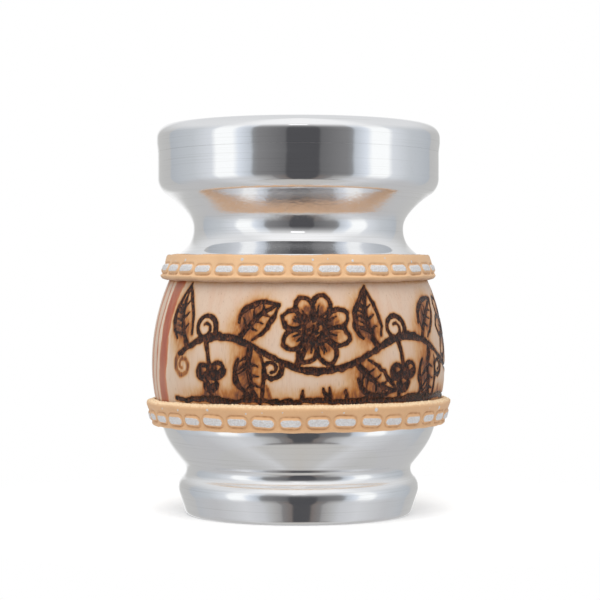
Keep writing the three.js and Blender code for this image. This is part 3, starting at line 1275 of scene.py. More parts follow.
    def _flower(self, centre: np.ndarray, radius: float, petals: int) -> None:
        """Draws a flower seen from the front.

        Args:
            centre: Middle of the flower.
            radius: Reach of its petals.
            petals: How many petals it has.
        """
        eye = radius * 0.31
        share = np.linspace(0, 1, 11)
        first = self.hand.uniform(0, TURN)
        for petal in range(petals):
            angle = first + petal * TURN / petals + self.hand.normal(0, 0.06)
            along, across = _heading(angle), _heading(angle + QUARTER)
            reach = (radius - eye) * self.hand.uniform(0.9, 1.1)
            half = radius * 0.66 * math.sin(math.pi / petals)
            width = half * np.sin(math.pi * share**1.2) ** 0.7
            rib = centre + np.outer(eye + share * reach, along)
            self._line(rib + np.outer(width, across), [0.8, 1.1, 1.4, 1.0], shake=0.1)
            self._line(rib - np.outer(width, across), [0.6, 0.9, 1.2, 1.0], shake=0.1)
            for aside in (-0.35, 0.0, 0.35):
                vein = rib[1:6] + np.outer(width[1:6], across) * aside
                self._line(vein, [0.9, 0.4], heat=self.hand.uniform(0.25, 0.8))
            self.stains.append(Stain(rib[3], (reach * 0.42, half * 0.85), angle, 0.58))
        ring = np.linspace(0, TURN, 19)
        self._line(_circle(centre, eye, ring), [1.9, 1.4, 2.0])
        for dot in range(8):
            spot = centre + _heading(2.4 * dot) * eye * 0.27 * math.sqrt(dot + 0.3)
            self._line(np.array([spot, spot + [0.3, 0.1]]), [1.0], heat=0.9, shake=0.04)
        self.stains.append(Stain(centre, (eye * 1.15, eye * 1.15), 0.0, 0.85))

    def _tendril(self, base: np.ndarray, angle: float, size: float, way: float) -> None:
        """Draws a curl.

        Args:
            base: Where it leaves the stem.
            angle: Direction in which it starts.
            size: Radius of its first bend.
            way: 1 to curl to the left, -1 to the right.
        """
        turn = np.linspace(0, 1.4 * TURN, 30)
        radius = size * (1 - 0.72 * turn / turn[-1])
        heading = angle + way * turn
        step = np.gradient(turn) * radius
        steps = np.stack([np.cos(heading), np.sin(heading)], axis=1) * step[:, None]
        path = base + np.cumsum(steps, axis=0)
        self._line(path, [1.6, 1.2, 0.9, 0.7], heat=self.hand.uniform(0.4, 0.7), shake=0.05)

    def _berry(self, centre: np.ndarray, radius: float) -> None:
        """Draws a dark berry with a light spot.

        Args:
            centre: Its middle.
            radius: Its radius.
        """
        ring = np.linspace(0, TURN, 13)
        self._line(_circle(centre, radius, ring), [1.0, 1.5], shake=0.08)
        crescent = np.linspace(math.pi * 0.9, math.pi * 1.9, 7)
        self._line(_circle(centre, radius * 0.5, crescent), [1.2, 1.5, 1.2], heat=0.6, shake=0.05)
        self.stains.append(Stain(centre, (radius * 1.2, radius * 1.2), 0.0, 0.6))

    def _ground(self) -> None:
        """Draws the uneven ground line in several passes, and short blades and dots over it."""
        first, last = self.start - 1.5, self.start + self.repeats * self.wave
        while first < last:
            length = min(self.hand.uniform(22, 46), last - first + 2)
            arcs = np.arange(first - 1.5, first + length, 1.2)
            sway = 0.25 * np.sin(arcs * 0.4) + self.hand.uniform(-0.3, 0.3)
            widths = self.hand.uniform(0.8, 2.3, 6)
            self._line(np.stack([arcs, self.floor + sway], axis=1), list(widths))
            for _ in range(int(length / 5)):
                foot = np.array([first + self.hand.uniform(0, length), self.floor + 0.4])
                reach = np.array([self.hand.uniform(-1.2, 1.2), self.hand.uniform(1.6, 3.6)])
                heat = self.hand.uniform(0.3, 1)
                self._line(foot + np.outer([0, 0.3, 0.7, 1], reach), [1.2, 1.0, 0.5], heat)
            spot = np.array([first + length / 2, self.floor + 0.8])
            self.stains.append(Stain(spot, (length * 0.36, 2.4), 0.0, self.hand.uniform(0.35, 0.75)))
            first += length

    def burn(self, arc: np.ndarray, height: np.ndarray) -> tuple[np.ndarray, np.ndarray]:
        """Works out what the drawing does to places on the belly.

        Args:
            arc: Arcs of the places.
            height: Heights of the places.

        Returns:
            How deep each place lies inside a burned line, in millimetres and negative outside, and how
            brown the heat left it, 0 to 1.
        """
        inside = np.full(arc.shape, -BURN_REACH)
        pale = np.ones(arc.shape)
        for stroke in self.strokes:
            middle = (stroke.points.min(0) + stroke.points.max(0)) / 2
            span = (stroke.points.max(0) - stroke.points.min(0)) / 2 + BURN_REACH
            near, across, up = self._near(arc, height, middle, span)
            if not len(near):
                continue
            edge = self._edge(stroke, across + middle[0], up + middle[1])
            if stroke.heat > CHARRING_HEAT:
                inside[near] = np.maximum(inside[near], edge)
            glow = np.exp(-np.maximum(-edge, 0) / self.glow) * (0.25 + 0.4 * stroke.heat)
            brushed = smoothstep(-0.12, 0.12, edge) * (0.55 + 0.45 * stroke.heat)
            pale[near] = np.minimum(pale[near], 1 - np.maximum(glow, brushed))
        for stain in self.stains:
            span = np.full(2, STAIN_REACH * max(stain.reach))
            near, across, up = self._near(arc, height, stain.centre, span)
            along, aside = _heading(stain.turn), _heading(stain.turn + QUARTER)
            length = (across * along[0] + up * along[1]) / stain.reach[0]
            breadth = (across * aside[0] + up * aside[1]) / stain.reach[1]
            pale[near] *= 1 - stain.heat * np.exp(-(length**2) - breadth**2)
        return inside, 1 - pale

    def _near(
        self, arc: np.ndarray, height: np.ndarray, middle: np.ndarray, span: np.ndarray
    ) -> tuple[np.ndarray, np.ndarray, np.ndarray]:
        """Picks the places near a mark, also across the back.

        Args:
            arc: Arcs of all places.
            height: Heights of all places.
            middle: Middle of the mark.
            span: How far the mark reaches each way.

        Returns:
            The numbers of the places, and how far they lie from the middle each way.
        """
        half = self.round_length / 2
        across = (arc - middle[0] + half) % self.round_length - half
        up = height - middle[1]
        near = np.flatnonzero((np.abs(across) < span[0]) & (np.abs(up) < span[1]))
        return near, across[near], up[near]

    @staticmethod
    def _edge(stroke: Stroke, arc: np.ndarray, height: np.ndarray) -> np.ndarray:
        """Measures how deep places lie inside a stroke.

        Args:
            stroke: The stroke.
            arc: Arcs of the places.
            height: Heights of the places.

        Returns:
            Distances to the stroke's edge, negative outside.
        """
        best = np.full(arc.shape, -np.inf)
        pairs = zip(stroke.points, stroke.points[1:], stroke.widths, stroke.widths[1:])
        for start, end, first, last in pairs:
            step = end - start
            share = ((arc - start[0]) * step[0] + (height - start[1]) * step[1]) / max(step @ step, 1e-9)
            share = np.clip(share, 0, 1)
            gap = np.hypot(arc - start[0] - share * step[0], height - start[1] - share * step[1])
            best = np.maximum(best, (first + share * (last - first)) / 2 - gap)
        return best


@dataclass
class CupPiece:
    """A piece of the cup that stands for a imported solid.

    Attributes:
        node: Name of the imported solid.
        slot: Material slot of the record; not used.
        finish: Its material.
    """

    node: str
    slot: Slot
    finish: bpy.types.Material

    def build(self) -> bpy.types.Object:
        """Builds and dresses the piece."""
        raise NotImplementedError

    def settle(self, piece: bpy.types.Object) -> None:
        """Dresses a piece and ties it to the solid that it stands for.

        Args:
            piece: The piece.
        """
        piece.data.materials.append(self.finish)
        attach(piece, BODY)
        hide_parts(self.node)
        log.info("%s: %d faces", piece.name, len(piece.data.polygons))


@dataclass(frozen=True)
class Swell:
    """A gentle swell that the spinning left in a sheet.

    Attributes:
        height: Height of its middle.
        reach: How far it reaches up and down.
        rise: How far it stands out.
    """

    height: float
    reach: float
    rise: float


@dataclass
class SpunSheet(CupPiece):
    """A sheet spun over the wood.

    Attributes:
        name: Name of the piece.
        seed: Start of its unevenness.
        segments: Vertices round the cup.
        spacing: Step along the outline.
        fillet: Easing of the cut edges.
        dents: How far the sheet is out of true.
        tool_marks: Depth of the tool's ripples.
        slant: How much both change across flat parts, for each millimetre of radius.
        calm: Distances from the worked edge between which both set in.
        edge: Height of the cut edge that is worked to meet the next piece.
        edge_reach: How far from that edge the sheet is worked.
        edge_grow: How far the edge is drawn out upwards.
        edge_tuck: How far the edge is pressed in.
        swells: Gentle swells of the sheet.
    """

    name: str = "spun_sheet"
    seed: int = 1
    segments: int = 224
    spacing: float = 0.5
    fillet: float = 0.12
    dents: float = 0.03
    tool_marks: float = 0.004
    slant: float = 0.35
    calm: tuple[float, float] = (0.3, 2.5)
    edge: float = 0.0
    edge_reach: float = 1.0
    edge_grow: float = 0.0
    edge_tuck: float = 0.0
    swells: Sequence[Swell] = ()

    def build(self) -> bpy.types.Object:
        """Builds and dresses the sheet.

        Returns:
            The piece.
        """
        outline = Meridian.of_node(self.node)
        path = self._work_edge(outline.smooth(self.spacing, self.fillet))
        counts = np.where(path[:, 0] < SAME_POINT, 1, self.segments)
        skin = Revolver(path, outline.closed, counts, self._offset).build()
        piece = skin.to_object(self.name, {})
        self.settle(piece)
        return piece

    def _work_edge(self, path: np.ndarray) -> np.ndarray:
        """Draws out and presses in the outer cut edge, and adds the swells.

        Args:
            path: Points of the outline.

        Returns:
            The worked outline.
        """
        outer = path[:, 0] > path[:, 0].max() - SHEET_AND_A_HALF
        near = smoothstep(self.edge_reach, 0.0, np.abs(path[:, 1] - self.edge)) * outer
        worked = path + near[:, None] * [-self.edge_tuck, self.edge_grow]
        for swell in self.swells:
            away = (path[:, 1] - swell.height) / swell.reach
            worked[:, 0] += swell.rise * np.exp(-(away**2))
        return worked

    def _offset(self, point: np.ndarray, angle: np.ndarray) -> np.ndarray:
        """Gives how far the sheet stands out at a ring's places.

        Args:
            point: Radius and height of the ring.
            angle: Angles of the places.

        Returns:
            One distance for each place.
        """
        height = np.full(angle.shape, point[1] + self.slant * point[0])
        slow = Ripple(self.seed, turns=6).at(angle, height)
        quick = Ripple(self.seed + 50, waves=5, turns=2, pitch=2.6).at(angle, height)
        away = smoothstep(*self.calm, np.abs(point[1] - self.edge))
        return away * (self.dents * slow + self.tool_marks * quick)


@dataclass
class WoodVessel(CupPiece):
    """The turned wood, with the burned frieze on its belly.

    Attributes:
        shown: Heights between which the belly may show.
        depth: How far in from its widest place the belly may show.
        fillet: Easing of the edges.
        wave: How far the belly is out of true.
        seed: Start of that unevenness.
        groove: Depth of a burned line.
        lip: Height of the raised edge beside it.
        painted_band_shade: How dark the painted shade is on the wood just under the upper band, where the
            band's shadow falls.
        band_shade_reach: Distances below the top of the shown belly between which that painted shade sets
            in.
        fine: Vertices round the shown belly.
        coarse: Vertices round the rest.
        spacing: Step along the outline of the shown belly.
        rough_spacing: Step along the rest.
        belly_radius: Radius of the widest place.
        frieze: The burned drawing.
        burned: How deep the places of each ring of the belly lie inside a burned line.
        brown_and_shade_rings: How brown the heat left them, and how dark the shade painted under the upper
            band makes them.
    """

    shown: tuple[float, float] = (30.6, 68.2)
    depth: float = 8.0
    fillet: float = 0.5
    wave: float = 0.03
    seed: int = 3
    groove: float = 0.3
    lip: float = 0.06
    painted_band_shade: float = 0.36
    band_shade_reach: tuple[float, float] = (3.9, 1.7)
    fine: int = 720
    coarse: int = 180
    spacing: float = 0.4
    rough_spacing: float = 1.6
    belly_radius: float = field(init=False)
    frieze: BurnedFrieze = field(init=False)
    burned: list[np.ndarray] = field(init=False, default_factory=list)
    brown_and_shade_rings: list[np.ndarray] = field(init=False, default_factory=list)

    def build(self) -> bpy.types.Object:
        """Builds and dresses the wood.

        Returns:
            The piece.
        """
        outline = Meridian.of_node(self.node)
        path = self._path(outline)
        counts = np.where(self._on_belly(path), self.fine, self.coarse)
        counts[path[:, 0] < SAME_POINT] = 1
        self.belly_radius = float(path[:, 0].max())
        self.frieze = BurnedFrieze(round_length=TURN * self.belly_radius)
        self.frieze.draw()
        skin = Revolver(path, outline.closed, counts, self._offset).build()
        values = {
            "burn": self._spread(self.burned, counts, -BURN_REACH),
            "brown_and_shade": self._spread(self.brown_and_shade_rings, counts, 0.0),
        }
        piece = skin.to_object("turned_wood", values)
        self.settle(piece)
        return piece

    def _path(self, outline: Meridian) -> np.ndarray:
        """Smooths the outline, with long steps where the wood is covered.

        Args:
            outline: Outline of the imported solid.

        Returns:
            Points of the outline.
        """
        path = outline.smooth(self.spacing, self.fillet)
        belly = self._on_belly(path)
        kept = [0]
        for index in range(1, len(path) - 1):
            gap = np.hypot(*(path[index] - path[kept[-1]]))
            if belly[index] or belly[index + 1] or belly[index - 1] or gap > self.rough_spacing:
                kept.append(index)
        return path[[*kept, len(path) - 1]]

    def _on_belly(self, path: np.ndarray) -> np.ndarray:
        """Tells which points of the outline lie on the shown belly.

        Args:
            path: Points of the outline.

        Returns:
            True or False for each point.
        """
        widest = int(np.argmax(path[:, 0]))
        low, high = self.shown
        outside = np.abs(path[:, 0] - path[widest, 0]) < self.depth
        return outside & (path[:, 1] > low) & (path[:, 1] < high)

    def _offset(self, point: np.ndarray, angle: np.ndarray) -> np.ndarray:
        """Gives how far the wood stands out at a ring's places, and notes how it is burned and where shade
        is painted under the upper band.

        Args:
            point: Radius and height of the ring.
            angle: Angles of the places.

        Returns:
            One distance for each place.
        """
        if len(angle) != self.fine:
            return np.zeros(angle.shape)
        height = np.full(angle.shape, point[1])
        inside, brown = self.frieze.burn(angle * self.belly_radius, height)
        # Painted shade: darkens the wood just under the upper band, where the band's shadow falls.
        shade = self.painted_band_shade * smoothstep(*(self.shown[1] - reach for reach in self.band_shade_reach), height)
        self.burned.append(inside)
        self.brown_and_shade_rings.append(np.maximum(brown, shade))
        cut = self.groove * smoothstep(-0.05, 0.55, inside)
        lip = self.lip * np.exp(-(((inside + 0.22) / 0.2) ** 2))
        return lip - cut + self.wave * Ripple(self.seed, turns=4).at(angle, height)

    def _spread(self, rings: list[np.ndarray], counts: np.ndarray, usual: float) -> np.ndarray:
        """Lays out the belly's numbers for all vertices.

        Args:
            rings: Numbers of the belly's rings, in order.
            counts: Vertices of all rings.
            usual: Number away from the belly.

        Returns:
            One number for each vertex.
        """
        left = iter(rings)
        blocks = [next(left) if count == self.fine else np.full(count, usual) for count in counts]
        return np.concatenate(blocks)


@dataclass(frozen=True)
class StitchDrift:
    """How much one stitch differs from the next, as spreads of random draws.

    Attributes:
        shift: Of its place along the strip.
        sway: Of its place across the strip.
        swell: Of its size, as a share.
        lift: Of its paint's place across the strip.
        speck_along: Of a speck of paint's place along the strip.
        speck_up: Of that speck's place across the strip.
        speck_size: Of that speck's radius.
        tilt: Of its slope.
    """

    shift: float = 0.12
    sway: float = 0.10
    swell: float = 0.04
    lift: float = 0.054
    speck_along: float = 1.9
    speck_up: float = 0.35
    speck_size: float = 0.13
    tilt: float = 0.025

    def draw(self, hand: np.random.Generator, order: np.ndarray) -> dict[str, np.ndarray]:
        """Draws the differences of all stitches.

        Args:
            hand: Random draws.
            order: Number of the stitch in which each column lies.

        Returns:
            Each difference by its name, as a column of numbers.
        """
        count = int(order.max()) + 1
        spreads = asdict(self).items()
        return {name: hand.normal(0, spread, count)[order][:, None] for name, spread in spreads}


@dataclass
class LeatherBand(CupPiece):
    """A leather strip round the cup with a row of embossed, painted stitches.

    Attributes:
        name: Name of the piece.
        seed: Start of the random draws.
        columns: Vertices along each stitch.
        map_rows: Rows of the bake map, each of which holds a part of the strip.
        seam_turn: Angle of its seam from the middle of the back, in degrees.
        seam_gap: Gap between the strip's ends.
        edge_bends: Rounding of the face's lower and upper edge.
        edge_reach: How far from its cut edges the strip gives way.
        edge_wander: How far the cut edges wander.
        scallop: How much the cut edges swing with the stitches.
        fuzz: How ragged the upper edge is.
        hang: How far the strip is off its height: everywhere, at the front, at +X, and twice round.
        spread: How much further the strip reaches at the front, above and below its row.
        hug: How far the back of its upper edge bends in, and up, to lie on the sheet.
        pitch: Length of one stitch with its gap.
        row_drop: How far the row lies below the middle of the face.
        stitch: Length and width of a stitch.
        rise: How far a stitch stands out of the face.
        pressed_depth: Depth of the groove round it.
        upper_groove_tint: How strongly the groove's brown and painted shade show above a stitch.
        welt: Height of the welt under the row.
        pebble: How uneven the face is.
        crown: Length and width of a stitch's painted crown.
        crown_lift: How far the paint lies above the middle of its stitch.
        speck: Radius of a speck of paint, and its place above the middle as a share of the width.
        up: Direction up the strip, in the plane of the outline.
        out: Direction out of its face.
        seat: Middle of its inner side.
        width: Its width.
        thickness: Its thickness.
        face_radius: Radius of the middle of its face.
        count: How many stitches it has.
    """

    name: str = "leather_band"
    seed: int = 5
    columns: int = 40
    map_rows: int = 6
    seam_turn: float = 0.0
    seam_gap: float = 0.5
    edge_bends: tuple[float, float] = (0.7, 0.7)
    edge_reach: float = 0.7
    edge_wander: float = 0.14
    scallop: float = 0.06
    fuzz: float = 0.05
    hang: tuple[float, float, float, float] = (0.0, 0.0, 0.0, 0.0)
    spread: tuple[float, float] = (0.0, 0.0)
    hug: tuple[float, float] = (0.0, 0.0)
    pitch: float = 7.35
    row_drop: float = 0.55
    stitch: tuple[float, float] = (6.2, 3.15)
    rise: float = 0.4
    pressed_depth: float = 0.26
    upper_groove_tint: float = 1.0
    welt: float = 0.16
    pebble: float = 0.05
    crown: tuple[float, float] = (5.6, 1.75)
    crown_lift: float = 0.0
    speck: tuple[float, float] = (0.24, 0.31)
    up: np.ndarray = field(init=False)
    out: np.ndarray = field(init=False)
    seat: np.ndarray = field(init=False)
    width: float = field(init=False)
    thickness: float = field(init=False)
    face_radius: float = field(init=False)
    count: int = field(init=False)

    def build(self) -> bpy.types.Object:
        """Builds and dresses the band.

        Returns:
            The piece.
        """
        self._measure()
        half_gap = self.seam_gap / 2 / self.face_radius
        seam = math.pi + math.radians(self.seam_turn)
        angle = seam + np.linspace(half_gap, TURN - half_gap, self.count * self.columns + 1)
        places, values = self._emboss(self._section(), angle, seam)
        piece = self._wrap(places).to_object(self.name, values)
        self.settle(piece)
        return piece

    def _measure(self) -> None:
        """Takes the strip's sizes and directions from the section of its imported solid."""
        corners = Meridian.of_node(self.node).points
        inner_top, inner_low, face_low = corners[3], corners[4], corners[6]
        self.width = float(np.hypot(*(inner_top - inner_low)))
        self.up = (inner_top - inner_low) / self.width
        self.out = np.array([self.up[1], -self.up[0]])
        self.thickness = float((face_low - inner_low) @ self.out)
        self.seat = (inner_top + inner_low) / 2
        self.face_radius = float(self.seat[0] + self.thickness * self.out[0])
        self.count = round(TURN * self.face_radius / self.pitch)

    def _section(self) -> np.ndarray:
        """Draws the strip's section with rounded face edges, counter-clockwise.

        Returns:
            (out, up) places from the inner side's top, down, along the bottom, the face and the top.
        """
        half, thick = self.width / 2, self.thickness
        low, high = self.edge_bends
        hug_in, hug_up = self.hug
        places = np.linspace(half - 0.25, 0.25 - half, 8)
        bent = np.maximum(places / half, 0) ** 6
        inner = np.stack([-hug_in * bent, places + hug_up * bent], axis=1)
        sole = [(0.2, -half), ((thick - low) * 0.6, -half)]
        corner = np.linspace(-QUARTER, 0, 7)
        lower_edge = _circle(np.array([thick - low, low - half]), low, corner)
        face = [(thick, place) for place in np.linspace(low - half, half - high, 31)[1:-1]]
        upper_edge = _circle(np.array([thick - high, half - high]), high, corner + QUARTER)
        shares = np.array([0.75, 0.5, 0.25, 0.05])
        crest_out = shares * (thick - high) - (1 - shares) * hug_in
        crest = np.stack([crest_out, half + (1 - shares) * hug_up], axis=1)
        return np.concatenate([inner, sole, lower_edge, face, upper_edge, crest])

    def _emboss(
        self, section: np.ndarray, angle: np.ndarray, seam: float
    ) -> tuple[np.ndarray, dict[str, np.ndarray]]:
        """Presses the stitches into the strip and hangs it on the cup.

        Args:
            section: Places of the strip's section.
            angle: Angles of its columns.
            seam: Angle of the seam.

        Returns:
            Places of all vertices, column by column, and the numbers that the material reads.
        """
        hand = np.random.default_rng(self.seed)
        out, up = (np.broadcast_to(part, (len(angle), len(section))).copy() for part in section.T)
        step = TURN / self.count
        order = np.clip(((angle - seam) / step).astype(int), 0, self.count - 1)
        along = ((angle - seam - (order + 0.5) * step) * self.face_radius)[:, None]
        turn = angle[:, None]
        relief, groove_brown_and_shade, paint = self._row(along, up, turn, StitchDrift().draw(hand, order))
        half = self.width / 2
        top = smoothstep(half - self.edge_reach, half, up)
        low = smoothstep(self.edge_reach - half, -half, up)
        ragged = self.fuzz * hand.normal(0, 1, up.shape) * top
        on_face = smoothstep(self.thickness - 0.9, self.thickness - 0.15, out)
        wander = self.edge_wander * Ripple(self.seed + 1, turns=14).at(turn, 0 * up)
        swing = self.scallop * np.cos(TURN * along / self.pitch)
        frayed = top * (wander * 0.8 + swing * 0.5) - low * (wander * 0.6 + swing) + ragged
        up += self._hung(up, turn) + frayed
        out += on_face * relief + 0.4 * ragged
        place = self.seat + out[..., None] * self.out + up[..., None] * self.up
        radius, height = place[..., 0], place[..., 1]
        cut = np.maximum(top, low) * smoothstep(self.thickness + 0.1, self.thickness - 0.7, out)
        values = {
            "groove_brown_and_shade": on_face * groove_brown_and_shade,
            "paint": np.where(on_face > 0.5, paint, -1.0),
            "cut": np.clip(cut, 0, 1),
        }
        places = np.stack([radius * np.sin(turn), -radius * np.cos(turn), height], axis=-1)
        return places, {label: numbers.ravel() for label, numbers in values.items()}

    def _row(
        self, along: np.ndarray, up: np.ndarray, turn: np.ndarray, drift: dict[str, np.ndarray]
    ) -> tuple[np.ndarray, np.ndarray, np.ndarray]:
        """Shapes the row of stitches on the strip's face.

        Args:
            along: Places along the strip, from the middle of the stitch in which they lie.
            up: Places across the strip.
            turn: Angles round the cup.
            drift: How each stitch differs from the next.

        Returns:
            How far the places stand out, how much brown and painted shade the grooves give them, and how
            deep they lie inside the paint.
        """
        local = along - drift["shift"]
        rise = up + self.row_drop - drift["sway"] - drift["tilt"] * local
        edge = self._stadium(local, rise, self.stitch, drift["swell"])
        steep = np.clip(np.abs(rise) / (self.stitch[1] / 2), 0, 1) ** 2
        dome = self.rise * smoothstep(0.1, -0.75, edge)
        groove = self.pressed_depth * np.exp(-(((edge - 0.15) / 0.24) ** 2)) * (0.45 + 0.55 * steep)
        welt = self.welt * np.exp(-(((rise + self.stitch[1] / 2 + 0.75) / 0.4) ** 2))
        pebble = self.pebble * Ripple(self.seed, waves=9, turns=40, pitch=5).at(turn, up)
        # The groove's line is partly the pressing's browning and partly painted shade, strongest where the
        # groove runs level above and below a stitch.
        line = np.exp(-(((edge - 0.14) / 0.2) ** 2)) * (0.3 + 0.7 * steep)
        line *= 1 + (self.upper_groove_tint - 1) * smoothstep(-0.4, 0.8, rise)
        broken = Ripple(self.seed + 2, waves=9, turns=150, pitch=4).at(turn, up)
        line *= np.clip(0.75 + 0.45 * broken, 0, 1.2)
        crown = self._stadium(local, rise - self.crown_lift - drift["lift"], self.crown, drift["swell"])
        size, share = self.speck
        speck_up = up - self.width * share - drift["speck_up"]
        speck = size + drift["speck_size"] - np.hypot(local - drift["speck_along"], speck_up)
        return dome - groove + welt + pebble, line, np.maximum(-crown, speck)

    def _hung(self, up: np.ndarray, turn: np.ndarray) -> np.ndarray:
        """Gives how far the strip's places move as it hangs and spreads.

        Args:
            up: Places across the strip.
            turn: Angles round the cup.

        Returns:
            The moves up the strip.
        """
        half = self.width / 2
        above = np.clip((up + self.row_drop) / (half + self.row_drop), 0, 1)
        below = np.clip(-(up + self.row_drop) / (half - self.row_drop), 0, 1)
        spread = (1 + np.cos(turn)) / 2 * (self.spread[0] * above - self.spread[1] * below)
        level, forward, aside, twice = self.hang
        return spread + level + forward * np.cos(turn) + aside * np.sin(turn) + twice * np.cos(2 * turn)

    @staticmethod
    def _stadium(
        along: np.ndarray, rise: np.ndarray, size: tuple[float, float], swell: np.ndarray
    ) -> np.ndarray:
        """Measures the distance from places to the edge of a long round-ended pad.

        Args:
            along: Places along the pad, from its middle.
            rise: Places across it.
            size: Its length and width.
            swell: Share by which each pad is larger.

        Returns:
            The distances, negative inside.
        """
        length, width = size
        straight = (length * (1 + swell) - width) / 2
        return np.hypot(np.maximum(np.abs(along) - straight, 0), rise) - width * (1 + swell) / 2

    def _wrap(self, places: np.ndarray) -> Skin:
        """Joins the columns into a closed skin with capped ends.

        Args:
            places: Places of all vertices, column by column.

        Returns:
            The skin.
        """
        skin = Skin()
        skin.vertices.append(places.reshape(-1, 3))
        count, around = len(places) - 1, places.shape[1]
        column, ring = np.meshgrid(np.arange(count), np.arange(around), indexing="ij")
        column, ring = column.ravel(), ring.ravel()
        after = (ring + 1) % around
        starts, ends = column * around, (column + 1) * around
        faces = np.stack([starts + ring, ends + ring, ends + after, starts + after], axis=1)
        row = (column * self.map_rows // count)[:, None]
        right = np.stack([column, column + 1, column + 1, column], axis=1) * self.map_rows / count - row
        upward = (row + np.stack([ring, ring, ring + 1, ring + 1], axis=1) / around) / self.map_rows
        skin.add_faces(faces, np.stack([right, upward], axis=2))
        loop = np.arange(around)
        cap_centre, cap_radius = np.full(2, 0.005), 0.004
        cap = _circle(cap_centre, cap_radius, loop * TURN / around)
        skin.add_faces(np.stack([loop[::-1], count * around + loop]), np.stack([cap[::-1], cap]))
        return skin


